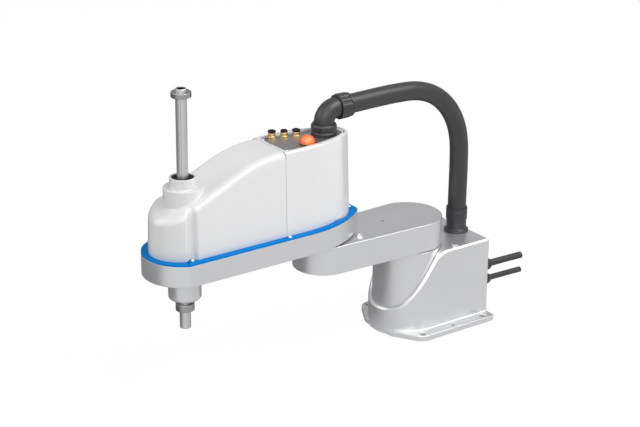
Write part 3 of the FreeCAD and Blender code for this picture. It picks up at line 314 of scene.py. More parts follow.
class Finish(Enum):
    """Every finish of the robot."""

    CASTING = Paint("silver_casting_paint", (0.70, 0.705, 0.715), 0.36, 1400.0, 0.00002,
                    0.02, 0.82)
    COVER = Paint("gloss_white_cover", (0.80, 0.80, 0.80), 0.20, 500.0, 0.000004, 0.006,
                  coat=1.0)
    TRIM = Paint("blue_trim_paint", (0.0, 0.20, 0.60), 0.45, 1200.0, 0.00002, 0.04,
                 specular=0.04)
    PLATE = Metal("brushed_grey_plate", (0.42, 0.425, 0.45), 0.46, (4000.0, 60.0, 60.0))
    PANEL = Paint("grey_panel_paint", (0.30, 0.305, 0.31), 0.5, 1500.0, 0.00004)
    NYLON = Paint("dark_nylon", (0.034, 0.034, 0.036), 0.34, 2200.0, 0.00002, 0.1)
    DUCT = Paint("duct_jacket", (0.036, 0.036, 0.037), 0.36, 1600.0, 0.00002, 0.08)
    LEAD = Paint("lead_jacket", (0.034, 0.034, 0.035), 0.45, 2600.0, 0.00004, 0.1)
    SEAL = Paint("seal_rubber", (0.012, 0.012, 0.012), 0.6, 1800.0, 0.00005, 0.15,
                 specular=0.2)
    BELT = Paint("belt_rubber", (0.012, 0.012, 0.012), 0.7, 1200.0, 0.0001, 0.2)
    MOTOR = Paint("black_anodised", (0.02, 0.02, 0.022), 0.45, 2500.0, 0.00002, 0.1, 0.6)
    SHAFT = Metal("ground_shaft", (0.64, 0.64, 0.645), 0.42, (2600.0, 2600.0, 30.0))
    TURNED = Metal("turned_aluminium", (0.62, 0.62, 0.63), 0.34)
    COLLAR = Metal("steel_collar", (0.40, 0.40, 0.41), 0.30, (500.0, 500.0, 500.0))
    BEARING = Metal("bearing_steel", (0.55, 0.55, 0.56), 0.25)
    ZINC = Metal("zinc_screw", (0.92, 0.92, 0.92), 0.34, (300.0, 300.0, 300.0), 0.000002)
    BRASS = Metal("brass_fitting", (0.72, 0.50, 0.22), 0.28, (200.0, 200.0, 3000.0))
    # the glow's centre sits off the lamp's axis (204, 20.6) towards the near side: a painted
    # highlight, with painted shade on the far side
    LAMP = Glow("orange_lamp", (0.70, 0.09, 0.02), (1.0, 0.42, 0.08), (0.208, 0.0266, 0.343),
                0.0150, 0.24)


MATERIALS: dict[Finish, bpy.types.Material] = {}


def material(finish: Finish) -> bpy.types.Material:
    """The one material of a finish, built at its first use."""
    if finish not in MATERIALS:
        MATERIALS[finish] = finish.value.material()
    return MATERIALS[finish]


# Plan curves: dense closed lines of (x, y), counter-clockwise

def line(start: Sequence[float], end: Sequence[float], count: int) -> Array:
    """Evenly spaced points from start up to, but without, end.

    Args:
        start: The first point.
        end: The point after the last.
        count: How many points.

    Returns:
        An array of count points: start plus a growing share of the way to end.
    """
    share = np.linspace(0.0, 1.0, count, endpoint=False)[:, None]
    return np.asarray(start, float) + share * (np.asarray(end, float) - np.asarray(start, float))


def arc(centre: Sequence[float], radius: float, start: float, end: float, count: int) -> Array:
    """Points on a circle from one angle up to, but without, another.

    Args:
        centre: The circle's centre.
        radius: The circle's radius.
        start: The first angle in degrees.
        end: The angle after the last in degrees.
        count: How many points.

    Returns:
        Centre plus radius times the cosine and sine of each angle.
    """
    turn = np.radians(np.linspace(start, end, count, endpoint=False))
    return np.asarray(centre, float) + radius * np.stack([np.cos(turn), np.sin(turn)], 1)


def resampled(points: Array, count: int, closed: bool = True) -> Array:
    """The same line with evenly spaced points.

    Args:
        points: The line's points.
        count: How many points come back.
        closed: Whether the last point joins the first.

    Returns:
        Points at equal steps of the length along the line.
    """
    loop = np.vstack([points, points[:1]]) if closed else points
    along = np.concatenate([[0.0], np.cumsum(np.linalg.norm(np.diff(loop, axis=0), axis=1))])
    wanted = np.linspace(0.0, along[-1], count, endpoint=not closed)
    return np.stack([np.interp(wanted, along, loop[:, k]) for k in range(loop.shape[1])], 1)


def outward(points: Array) -> Array:
    """Unit normals of a closed counter-clockwise line: the chord between each point's two
    neighbours, turned a quarter to the right."""
    chord = np.roll(points, -1, axis=0) - np.roll(points, 1, axis=0)
    chord /= np.linalg.norm(chord, axis=1, keepdims=True)
    return np.stack([chord[:, 1], -chord[:, 0]], 1)


def blended(points: Sequence[Sequence[float]], reach: Union[float, Sequence[float]],
            steps: int = 4, closed: bool = False) -> Array:
    """A polyline whose corners become smooth blends.

    A corner C with the points A and B at reach before and after it becomes the curve
    (1-t)(1-t) A + 2t(1-t) C + tt B, as t runs from 0 to 1. A reach is cut to 0.45 of the
    shorter leg.

    Args:
        points: The corners.
        reach: One reach, or one for each corner.
        steps: How many steps each blend takes.
        closed: Whether the last corner joins the first.

    Returns:
        The points of the blended line.
    """
    corner = np.asarray(points, float)
    size = np.broadcast_to(np.asarray(reach, float), (len(corner),)).copy()
    before, after = np.roll(corner, 1, axis=0), np.roll(corner, -1, axis=0)
    into, out = corner - before, after - corner
    long_in, long_out = np.linalg.norm(into, axis=1), np.linalg.norm(out, axis=1)
    if not closed:
        size[0] = size[-1] = 0.0
    size = np.minimum(size, 0.45 * np.minimum(long_in, long_out))
    first = corner - into * (size / np.maximum(long_in, 1e-9))[:, None]
    last = corner + out * (size / np.maximum(long_out, 1e-9))[:, None]
    t = np.linspace(0.0, 1.0, steps + 1)[None, :, None]
    curve = ((1 - t) ** 2 * first[:, None] + 2 * t * (1 - t) * corner[:, None]
             + t * t * last[:, None])
    curve = curve.reshape(-1, corner.shape[1])
    keep = np.ones(len(curve), bool)
    keep[1:] = np.linalg.norm(np.diff(curve, axis=0), axis=1) > 1e-6
    return curve[keep]


def bowed(rear: float, half: float, side: float, side_x: float, corner: float,
          front: Array) -> Array:
    """A plan with a narrow flat back, rounded corners, bowed flanks and a given front.

    Each flank is an arc of radius side about (side_x, half - side) that ends tangent to the
    line y = half. A corner circle lies inside it and touches the back.

    Args:
        rear: The x of the flat back.
        half: Half the plan's width.
        side: The radius of the bowed flanks.
        side_x: Where the bow runs out into the straight flank.
        corner: The radius of the rear corners.
        front: The points from (., -half) round the front to (., half).

    Returns:
        The plan's points, counter-clockwise from the back's lower end.
    """
    run = side_x - rear - corner
    reach = side - corner
    rise = math.sqrt(reach * reach - run * run)
    flat = rise - (side - half)
    turn = math.degrees(math.atan2(rise, -run))
    lower_corner = arc((rear + corner, -flat), corner, 180, 360 - turn, 10)
    lower_side = arc((side_x, side - half), side, 360 - turn, 270, 70)
    upper_side = arc((side_x, half - side), side, 90, turn, 70)
    upper_corner = arc((rear + corner, flat), corner, turn, 180, 10)
    back = line((rear, flat), (rear, -flat), 8)
    return np.vstack([lower_corner, lower_side, front, upper_side, upper_corner, back])

# Meshes

def surface(name: str, grid: Array, loop_rows: bool = False,
            sheet: bool = False) -> bpy.types.Object:
    """A mesh from a grid of points in millimetres.

    The point of row r and column c joins its neighbours in four-sided faces. Columns run
    counter-clockwise seen from above and rows run upwards on the outside, so faces point out.
    The last column joins the first, and one face closes each end, except on a sheet.

    Args:
        name: The object's name.
        grid: The points, by row, column and axis.
        loop_rows: Whether the last row joins the first, in place of the closed ends.
        sheet: Whether all four borders stay open.

    Returns:
        The new object at the origin, in metres.
    """
    rows, columns = grid.shape[:2]
    index = np.arange(rows * columns).reshape(rows, columns)
    low = index if loop_rows else index[:-1]
    high = np.roll(index, -1, axis=0) if loop_rows else index[1:]
    if sheet:
        faces = np.stack([low[:, :-1], low[:, 1:], high[:, 1:], high[:, :-1]], -1)
    else:
        faces = np.stack([low, np.roll(low, -1, 1), np.roll(high, -1, 1), high], -1)
    polygons = faces.reshape(-1, 4).tolist()
    if not (loop_rows or sheet):
        polygons += [index[0, ::-1].tolist(), index[-1].tolist()]
    mesh = bpy.data.meshes.new(name)
    mesh.from_pydata((grid.reshape(-1, 3) * MM).tolist(), [], polygons)
    mesh.update()
    return placed(name, mesh)


def placed(name: str, data: bpy.types.ID) -> bpy.types.Object:
    """A new object with this mesh, curve, lamp or camera, in the scene."""
    piece = bpy.data.objects.new(name, data)
    bpy.context.scene.collection.objects.link(piece)
    return piece


def dropped(piece: bpy.types.Object) -> None:
    """Removes an object and its mesh."""
    mesh = piece.data
    bpy.data.objects.remove(piece)
    bpy.data.meshes.remove(mesh)


def turned(name: str, profile: Array, centre: Sequence[float] = (0, 0, 0), sides: int = 64,
           closed: bool = False, axis: str = "Z",
           shape: Optional[Callable[[Array, Array], Array]] = None) -> bpy.types.Object:
    """A surface of revolution.

    The point at turn a and profile step s is the centre plus (r cos a, r sin a, h), where r
    and h are the profile's radius and height at s, and shape may change r with a and h.

    Args:
        name: The object's name.
        profile: Points of (radius, height), upwards on the outside.
        centre: The place of the profile's origin.
        sides: How many columns go round.
        closed: Whether the profile's end joins its start, as round a bore.
        axis: Z for upright, -X for a piece that points to the rear.
        shape: A function of (turn, height) that gives a factor for the radius.

    Returns:
        The new object.
    """
    turn = np.linspace(0, 2 * math.pi, sides, endpoint=False)
    radius = np.repeat(profile[:, :1], sides, 1)
    height = np.repeat(profile[:, 1:], sides, 1)
    if shape is not None:
        radius = radius * shape(np.broadcast_to(turn, radius.shape), height)
    x, y = radius * np.cos(turn), radius * np.sin(turn)
    if axis == "-X":
        grid = np.stack([-height, -y, -x], -1) * np.array([1, -1, 1])
    else:
        grid = np.stack([x, y, height], -1)
    grid = grid + np.asarray(centre, float)
    return surface(name, grid, closed)


def prism(name: str, plan: Array, profile: Array, closed: bool = False) -> bpy.types.Object:
    """A plan carried up along a profile.

    The point of the plan's step t and the profile's step s is the plan's point moved inwards
    by the profile's inset, at the profile's height.

    Args:
        name: The object's name.
        plan: The closed plan, counter-clockwise.
        profile: Points of (inset, height), upwards on the outside.
        closed: Whether the profile's end joins its start.

    Returns:
        The new object.
    """
    normal = outward(plan)
    flat = plan[None] - profile[:, :1, None] * normal[None]
    height = np.repeat(profile[:, 1:, None], len(plan), 1)
    return surface(name, np.concatenate([flat, height], -1), closed)


def swept(name: str, path: Array, radius: float, sides: int) -> bpy.types.Object:
    """A round tube along a path.

    The point at turn a and path step s is the path's point plus the radius times
    (side cos a + up sin a), where side and up span the plane across the path. A path in the
    XZ plane keeps side along Y.

    Args:
        name: The object's name.
        path: Points in millimetres.
        radius: The tube's radius.
        sides: How many columns go round.

    Returns:
        The new object, closed at both ends.
    """
    along = np.gradient(path, axis=0)
    along /= np.linalg.norm(along, axis=1, keepdims=True)
    side = np.cross(along, np.cross(np.array([0.0, 1.0, 0.0]), along))
    side /= np.linalg.norm(side, axis=1, keepdims=True)
    up = np.cross(along, side)
    turn = np.linspace(0, 2 * math.pi, sides, endpoint=False)
    ring = side[:, None] * np.cos(turn)[None, :, None] + up[:, None] * np.sin(turn)[None, :, None]
    return surface(name, path[:, None] + radius * ring)


def merged(piece: bpy.types.Object) -> bpy.types.Object:
    """Welds the points of a mesh that lie on each other, and turns its faces outwards."""
    work = bmesh.new()
    work.from_mesh(piece.data)
    bmesh.ops.remove_doubles(work, verts=work.verts, dist=1e-6)
    bmesh.ops.recalc_face_normals(work, faces=work.faces)
    work.to_mesh(piece.data)
    work.free()
    return piece


def applied(piece: bpy.types.Object) -> bpy.types.Object:
    """Makes the result of a piece's modifiers its own mesh."""
    graph = bpy.context.evaluated_depsgraph_get()
    mesh = bpy.data.meshes.new_from_object(piece.evaluated_get(graph))
    piece.modifiers.clear()
    old = piece.data
    piece.data = mesh
    bpy.data.meshes.remove(old)
    return piece


def carved(piece: bpy.types.Object, cutters: Sequence[bpy.types.Object]) -> bpy.types.Object:
    """Cuts other closed pieces out of a piece, removes them and returns the piece."""
    for cutter in cutters:
        modifier = piece.modifiers.new("cut", "BOOLEAN")
        modifier.operation = "DIFFERENCE"
        modifier.solver = "EXACT"
        modifier.object = cutter
        applied(piece)
        dropped(cutter)
    return piece


def plug(x: float, y: float, low: float, high: float, radius: float) -> bpy.types.Object:
    """A round upright cutter."""
    profile = np.array([[radius, low], [radius, high]])
    return turned("cutter", profile, (x, y, 0), 48)


def block(low: Sequence[float], high: Sequence[float], reach: float = 0.0) -> bpy.types.Object:
    """A cutter with upright edges that may be rounded.

    Args:
        low: The lowest corner.
        high: The highest corner.
        reach: How far each upright edge is blended.

    Returns:
        The new object.
    """
    corners = [(low[0], low[1]), (high[0], low[1]), (high[0], high[1]), (low[0], high[1])]
    plan = blended(corners, reach, 5, True) if reach else np.asarray(corners, float)
    grid = np.stack([np.column_stack([plan, np.full(len(plan), z)]) for z in (low[2], high[2])])
    return surface("cutter", grid)


def smoothed(piece: bpy.types.Object, look: Finish, sharp: float) -> None:
    """Shades a piece smooth, but for edges above sharp degrees, and gives it its finish."""
    mesh = piece.data
    mesh.polygons.foreach_set("use_smooth", np.ones(len(mesh.polygons), bool))
    mesh.set_sharp_from_angle(angle=math.radians(sharp))
    mesh.materials.clear()
    mesh.materials.append(material(look))


def finish_piece(piece: bpy.types.Object, body: Body, look: Finish, replaces: Sequence[str],
                 sharp: float = 38.0) -> None:
    """Smooths a piece, dresses it and puts it on its body.

    Args:
        piece: The piece, with its final mesh.
        body: The body that carries it.
        look: Its finish.
        replaces: The CAD nodes that it stands for, if any.
        sharp: The angle in degrees above which an edge stays sharp.
    """
    smoothed(piece, look, sharp)
    modifier = piece.modifiers.new("even_normals", "WEIGHTED_NORMAL")
    modifier.keep_sharp = True
    modifier.weight = 80
    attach(piece, body.value)
    if replaces:
        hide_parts(*replaces)
    LOG.info("%s: %d faces on %s", piece.name, len(piece.data.polygons), body.value)


@dataclass(frozen=True)
class Turning:
    """A turned piece, by its profile of (radius, height, blend) corners."""

    name: str
    look: Finish
    nodes: Sequence[str]
    slot: str
    profile: Sequence[tuple[float, float, float]]
    centre: Sequence[float] = (0.0, 0.0, 0.0)
    closed: bool = True
    sides: int = 96
    steps: int = 4
    axis: str = "Z"
    shape: Optional[Callable[[Array, Array], Array]] = None

    def build(self, body: Body) -> None:
        """Turns the blended profile, dresses it and puts it on its body."""
        corners = np.array(self.profile)
        profile = blended(corners[:, :2], corners[:, 2], self.steps, self.closed)
        piece = turned(self.name, profile, self.centre, self.sides, self.closed, self.axis,
                       self.shape)
        finish_piece(piece, body, self.look, self.nodes)


def joined(name: str, pieces: Sequence[bpy.types.Object]) -> bpy.types.Object:
    """Puts several meshes into one object under a new name."""
    work = bmesh.new()
    for piece in pieces:
        work.from_mesh(piece.data)
        dropped(piece)
    mesh = bpy.data.meshes.new(name)
    work.to_mesh(mesh)
    work.free()
    return placed(name, mesh)


def hexagon_share(turn: Array) -> Array:
    """The ratio of a hexagon's radius to that of the circle round it, over the turn."""
    wedge = np.mod(turn, math.pi / 3) - math.pi / 6
    return math.cos(math.pi / 6) / np.cos(wedge)


def screws(name: str, places: Sequence[Sequence[float]], radius: float,
           rise: float) -> bpy.types.Object:
    """Upright screw heads with a six-sided socket.

    The head is turned from a wall, a rounded shoulder, a flat top and a socket whose radius
    follows a hexagon.

    Args:
        name: The object's name.
        places: The centre of each seat.
        radius: The head's radius.
        rise: The head's height.

    Returns:
        One object with all the screws.
    """
    socket, socket_rows = radius * 0.42, 9
    profile = blended([
        (radius * 0.96, 0.0), (radius, rise * 0.25), (radius * 0.9, rise * 0.75),
        (radius * 0.6, rise), (socket * 1.12, rise), (socket, rise * 0.86),
        (socket, rise * 0.35), (0.05, rise * 0.3),
    ], [0, 0.3, 0.3, 0.3, 0.1, 0.1, 0.05, 0], 3)

    def socket_shape(turn: Array, height: Array) -> Array:
        """A hexagon inside the socket, a circle outside it."""
        inside = np.zeros_like(turn)
        inside[-socket_rows:] = 1.0
        return 1 - inside * (1 - hexagon_share(turn))

    return joined(name, [turned(name, profile, place, 36, shape=socket_shape)
                         for place in places])


# Sub-assemblies

@dataclass
class Base:
    """The base: foot, swept shell, turret column, rear leads and duct gland."""

    shell_half: float = 58.0
    rear: float = 116.0
    rear_corner: float = 2.5
    top: float = 130.0
    bore: float = 52.5
    floor: float = 10.0
    edge: float = 2.3
    bore_edge: float = 0.8
    foot_thick: float = 9.0
    foot_half: float = 78.0
    flare: float = 0.9
    column_radius: float = 52.0
    column_bore: float = 46.0
    column_mouth: float = 37.0
    column_high: float = 133.1
    gland_high: float = 149.9
    duct_x: float = -97.0
    lead_y: float = 40.0

    def sweep(self, x: Array) -> Array:
        """Height of the swept edge over x: level, then a round shoulder about (-36, 94.8),
        a straight fall of 1.38 to 1, a hollow about (67, 77.4), and level again."""
        shoulder = 94.8 + np.sqrt(np.maximum(35.2 ** 2 - (x + 36.0) ** 2, 0.0))
        fall = 115.5 - (x + 7.5) * (115.5 - 54.7) / 44.0
        hollow = 77.37 - np.sqrt(np.maximum(38.0 ** 2 - (np.minimum(x, 67.0) - 67.0) ** 2, 0.0))
        height = np.where(x < -36.0, self.top, shoulder)
        height = np.where(x > -7.5, fall, height)
        return np.where(x > 36.5, hollow, height)

    def shell_plan(self) -> Array:
        """The shell's plan: a half circle in front and a box with small rear corners."""
        half, rear, rim = self.shell_half, self.rear, self.rear_corner
        return np.vstack([
            arc((0, 0), half, -90, 90, 120),
            line((0, half), (-rear + rim, half), 90),
            arc((-rear + rim, half - rim), rim, 90, 180, 8),
            line((-rear, half - rim), (-rear, -half + rim), 60),
            arc((-rear + rim, -half + rim), rim, 180, 270, 8),
            line((-rear + rim, -half), (0, -half), 90),
        ])

    def shell(self) -> None:
        """The shell: its plan goes up to the swept edge, over it and down the turret's bore.

        A flat facet joins it to the foot, and fades out round the nose. Another one runs
        along the swept edge, as deep below the slope as it is wide, measured square to it.
        """
        plan = self.shell_plan()
        normal = outward(plan)
        angle = np.arctan2(plan[:, 1], plan[:, 0])
        rows = []

        def row(flat: Array, height: Array) -> None:
            """Adds one row of the grid."""
            rows.append(np.column_stack([flat, np.broadcast_to(height, len(flat))]))

        away = np.clip((np.abs(np.degrees(angle)) - 24.0) / 8.0, 0.0, 1.0)[:, None]
        flared = plan + self.flare * away * normal
        wall_low, step = self.foot_thick + self.flare, 0.01
        row(flared, 0.3)
        row(flared, self.foot_thick)
        row(plan, wall_low)
        fall = (self.sweep(plan[:, 0] + step) - self.sweep(plan[:, 0] - step)) / (2 * step)
        drop = self.edge * np.hypot(1.0, fall * normal[:, 1])
        wall_top = self.sweep(plan[:, 0]) - drop
        for share in np.linspace(0.15, 1.0, 7):
            row(plan, wall_low + (wall_top - wall_low) * share)
        for share in (0.5, 1.0):
            flat = plan - self.edge * share * normal
            row(flat, self.sweep(flat[:, 0]) - drop * (1.0 - share))
        start = plan - self.edge * normal
        inner = np.stack([np.cos(angle), np.sin(angle)], 1)
        end = inner * (self.bore + 0.5)
        for share in np.linspace(0.0, 1.0, 26)[1:]:
            flat = start + share * (end - start)
            row(flat, self.sweep(flat[:, 0]))
        for gap, sink in ((0.15, 0.2), (0.0, self.bore_edge)):
            flat = inner * (self.bore + gap)
            row(flat, self.sweep(flat[:, 0]) - sink)
        top = self.sweep(flat[:, 0]) - self.bore_edge
        for share in (0.3, 0.7, 1.0):
            row(flat, top + (self.floor - top) * share)
        shell = surface("base_shell", np.stack(rows))
        recess = block((-self.rear - 5, -51, 12), (-self.rear + 2.6, 51, 127))
        finish_piece(carved(shell, [recess]), Body.BASE, Finish.CASTING, ["base_casting"],
                     26)

    def foot(self) -> None:
        """The foot: a plate with slanted front corners, bolt holes and dowel holes."""
        front, slant, half, top = 54.5, 31.5, self.foot_half, self.foot_thick
        corners = [(front, -slant), (front, slant), (27, half), (-self.rear, half),
                   (-self.rear, -half), (27, -half)]
        plan = resampled(blended(corners, [5, 5, 13, 8, 8, 13], 10, True), 480)
        profile = blended([(1.2, 0), (0, 1.2), (0, top), (6, top)], [0, 0.5, 1.3, 0], 5)
        foot = prism("base_foot", plan, profile)
        cutters = []
        for x in (20.0, -98.0):
            for y in (68.0, -68.0):
                cutters += [plug(x, y, -5, 20, 4.5), plug(x, y, top - 1.0, 20, 8.5)]
        cutters += [plug(-37.5, y, -5, 20, 2.5) for y in (70.0, -70.0)]
        finish_piece(carved(foot, cutters), Body.BASE, Finish.CASTING, [])

    def turnings(self) -> list[Turning]:
        """The turret column, the duct's gland and its nut, and the low breather plug."""
        def tabs(turn: Array, height: Array) -> Array:
            """Four shallow flats below the nut's groove."""
            low = (height < 163.0) & (height > 151.0)
            flat = np.clip(np.cos(4 * turn) * 3.0, -1, 1) * 0.5 + 0.5
            return 1 - 0.035 * low * flat

        top, high, gland = self.top, self.column_high, self.gland_high
        wide, bore, mouth = self.column_radius, self.column_bore, self.column_mouth
        duct = (self.duct_x, 0, 0)
        return [
            Turning("turret_column", Finish.CASTING, ["base_column"], "casting", [
                (bore, 10, 0.5), (wide, 10, 0.5), (wide, high, 0.8), (mouth, high, 0.5),
                (mouth, high - 6, 0.5), (bore, high - 6, 0.5)], sides=128),
            Turning("duct_gland_body", Finish.NYLON, ["duct_gland"], "dark", [
                (11, top, 0.1), (19, top, 0.3), (19, top + 3.4, 0.9), (16.6, top + 4.6, 0.6),
                (15.4, top + 5.6, 0.6), (15.4, gland, 0.3), (11, gland, 0.1)], duct, sides=72),
            Turning("duct_gland_cap", Finish.NYLON, ["duct_gland_nut"], "dark", [
                (14.4, 150.1, 0.1), (16.4, 150.1, 0.5), (16.4, 163.6, 0.3), (15.9, 164.2, 0.3),
                (16.4, 164.8, 0.3), (16.4, 169, 0.6), (14.4, 169, 0.1)], duct, shape=tabs),
            Turning("breather_plug_cap", Finish.CASTING, ["breather_plug"], "screw", [
                (5.4, top, 0), (5.4, top + 3.4, 0.5), (0.1, top + 3.4, 0)], (-53, 50, 0), False,
                40),
        ]

    def lead(self, name: str, z: float, radius: float) -> None:
        """A rear lead: a jacketed cord that leaves a boot.

        Args:
            name: The start of the pieces' names.
            z: How high it leaves the panel.
            radius: The lead's radius.
        """
        seat, mouth = 2.9, 19.0
        Turning(f"{name}_boot", Finish.NYLON, [f"{name}_cable_gland"], "dark", [
            (radius + 5.5, 0, 0), (radius + 5.5, 2.5, 0.5), (radius + 4.6, 2.6, 0.3),
            (radius + 4.4, 12.5, 2.0), (radius + 1.2, mouth, 0.5), (radius + 0.3, mouth, 0.1),
            (radius + 0.3, seat, 0.1), (0.1, seat, 0),
        ], (-self.rear, self.lead_y, z), False, 56, 5, "-X").build(Body.BASE)
        y = self.lead_y * MM
        route = [(-0.119, y, z * MM), (-0.1585, y, z * MM - 0.0004),
                 (-0.198, y, z * MM - 0.0016)]
        centre = spline_line(f"{name}_line", route)
        lead = swept(f"{name}_lead", centre / MM, radius, 32)
        finish_piece(lead, Body.BASE, Finish.LEAD, [f"{name}_cable"])

    def build(self) -> None:
        """Makes every piece of the base."""
        self.foot()
        self.shell()
        for turning in self.turnings():
            turning.build(Body.BASE)
        self.lead("power", 79.0, 5.25)
        self.lead("signal", 54.5, 4.4)


def span(centre: Array) -> float:
    """The length of a line: the sum of the distances between its points."""
    return float(np.linalg.norm(np.diff(centre, axis=0), axis=1).sum())


def spline_line(name: str, route: Sequence[Sequence[float]]) -> Array:
    """Reads the smooth line that a route's points control.

    Args:
        name: The name of the curve that is used and removed.
        route: The control points, in metres.

    Returns:
        The points of the line, in metres.
    """
    data = bpy.data.curves.new(name, "CURVE")
    data.dimensions = "3D"
    data.resolution_u = 16
    curve = data.splines.new("NURBS")
    curve.points.add(len(route) - 1)
    flat = np.column_stack([np.asarray(route, float), np.ones(len(route))])
    curve.points.foreach_set("co", flat.ravel())
    curve.order_u = 3
    curve.use_endpoint_u = True
    holder = placed(name, data)
    graph = bpy.context.evaluated_depsgraph_get()
    mesh = bpy.data.meshes.new_from_object(holder.evaluated_get(graph))
    points = np.zeros(len(mesh.vertices) * 3)
    mesh.vertices.foreach_get("co", points)
    bpy.data.meshes.remove(mesh)
    bpy.data.objects.remove(holder)
    bpy.data.curves.remove(data)
    return points.reshape(-1, 3)


@dataclass
class UpperArm:
    """The upper arm: a flat cast link, its stop bolt and the elbow of the duct."""

    reach: float = 160.0
    rear_radius: float = 52.0
    front_radius: float = 45.0
    low: float = 134.3
    high: float = 177.8
    bend: float = 20.0
    bend_low: float = 354.0
    duct_high: float = 374.0

    def link(self) -> None:
        """The link: two circles joined by tangents, with blended edges and a ribbed back."""
        slope = (self.rear_radius - self.front_radius) / self.reach
        lean = math.degrees(math.acos(slope))
        front_x, rear_x = self.reach + self.front_radius * slope, self.rear_radius * slope
        front_y, rear_y = (radius * math.sin(math.radians(lean))
                           for radius in (self.front_radius, self.rear_radius))
        plan = np.vstack([
            arc((self.reach, 0.0), self.front_radius, -lean, lean, 90),
            line((front_x, front_y), (rear_x, rear_y), 40),
            arc((0, 0), self.rear_radius, lean, 360 - lean, 110),
            line((rear_x, -rear_y), (front_x, -front_y), 40),
        ])
        profile = blended([(8, self.low), (0, self.low), (0, self.high), (8, self.high)],
                          [0, 1.6, 1.3, 0], 5)
        link = prism("upper_arm_link", plan, profile)
        cutters = []
        for start, end in ((50.0, 80.0), (86.0, 116.0)):
            for near, far_side in ((3.0, 38.0), (-38.0, -3.0)):
                cutters.append(block((start, near, self.low - 5),
                                     (end, far_side, self.high - 9), 5))
        cutters.append(plug(49, 0, self.high - 14, self.high + 5, 2.1))
        finish_piece(carved(link, cutters), Body.UPPER, Finish.CASTING, ["upper_arm_casting"])

    def bolt(self) -> None:
        """The stop bolt's low button head."""
        bolt = screws("stop_bolt_head", [(115, 30, self.high)], 5.5, 2.6)
        finish_piece(bolt, Body.UPPER, Finish.ZINC, ["stop_bolt"])

    def elbow(self) -> None:
        """The elbow: a pipe that turns a quarter, with a ribbed nut at each end."""
        low, mid = 345.6, self.reach - self.bend
        flat = np.vstack([
            line((self.reach, low), (self.reach, self.bend_low), 8),
            arc((mid, self.bend_low), self.bend, 0, 90, 22),
            line((mid, self.duct_high), (mid - 2.2, self.duct_high), 3),
        ])
        path = np.column_stack([flat[:, 0], np.zeros(len(flat)), flat[:, 1]])
        pipe = swept("duct_elbow_pipe", path, 14.8, 56)
        finish_piece(pipe, Body.UPPER, Finish.NYLON, ["duct_elbow"])

        def grips(turn: Array, height: Array) -> Array:
            """Broad grip ribs round the nut's outside."""
            wave = np.clip(np.cos(12 * turn) * 2.6, -1, 1) * 0.5 + 0.5
            return np.where((height > 1.0) & (height < 17.6), 1 - 0.05 * wave, 1.0)

        Turning("elbow_foot_nut", Finish.NYLON, ["elbow_lower_nut"], "dark", [
            (14.9, low, 0.1), (18.8, low, 0.5), (18.8, 351.2, 0.5), (18.2, 352.2, 0.5),
            (17.0, 354.1, 0.6), (14.9, 354.1, 0.1),
        ], (self.reach, 0, 0)).build(Body.UPPER)
        Turning("elbow_side_nut", Finish.NYLON, ["elbow_union_nut"], "dark", [
            (11.0, 0, 0.1), (17.2, 0, 0.6), (18.8, 1.6, 0.6), (18.8, 8.6, 0.3),
            (18.2, 9.2, 0.3), (18.6, 9.8, 0.3), (18.6, 17.4, 0.6), (17.8, 18.2, 0.4),
            (17.8, 22, 0.5), (14.4, 22, 0.2), (14.4, 4, 0.1), (11.0, 4, 0.1),
        ], (mid - 2.0, 0, self.duct_high), sides=144, axis="-X", shape=grips).build(Body.UPPER)

    def build(self) -> None:
        """Makes every piece of the upper arm."""
        self.link()
        self.bolt()
        self.elbow()


@dataclass
class Duct:
    """The cable duct, a stiff smooth hose from the elbow over the arm to the base."""

    radius: float = 14.25
    route: list = field(default_factory=lambda: [
        (0.1336, 0, 0.374), (0.085, 0, 0.3749), (0.033, 0, 0.3754), (-0.013, 0, 0.3728),
        (-0.051, 0, 0.357), (-0.080, 0, 0.327), (-0.0964, 0, 0.287), (-0.0978, 0, 0.234),
        (-0.097, 0, 0.190), (-0.097, 0, 0.150),
    ])

    def build(self) -> None:
        """Makes the hose along its route's smooth line."""
        centre = resampled(spline_line("duct_line", self.route), 130, False)
        hose = swept("duct_hose_jacket", centre / MM, self.radius, 48)
        smoothed(hose, Finish.DUCT, 40)
        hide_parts("duct_hose")
        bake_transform(hose)
        LOG.info("duct_hose_jacket: %.0f mm long", span(centre) / MM)


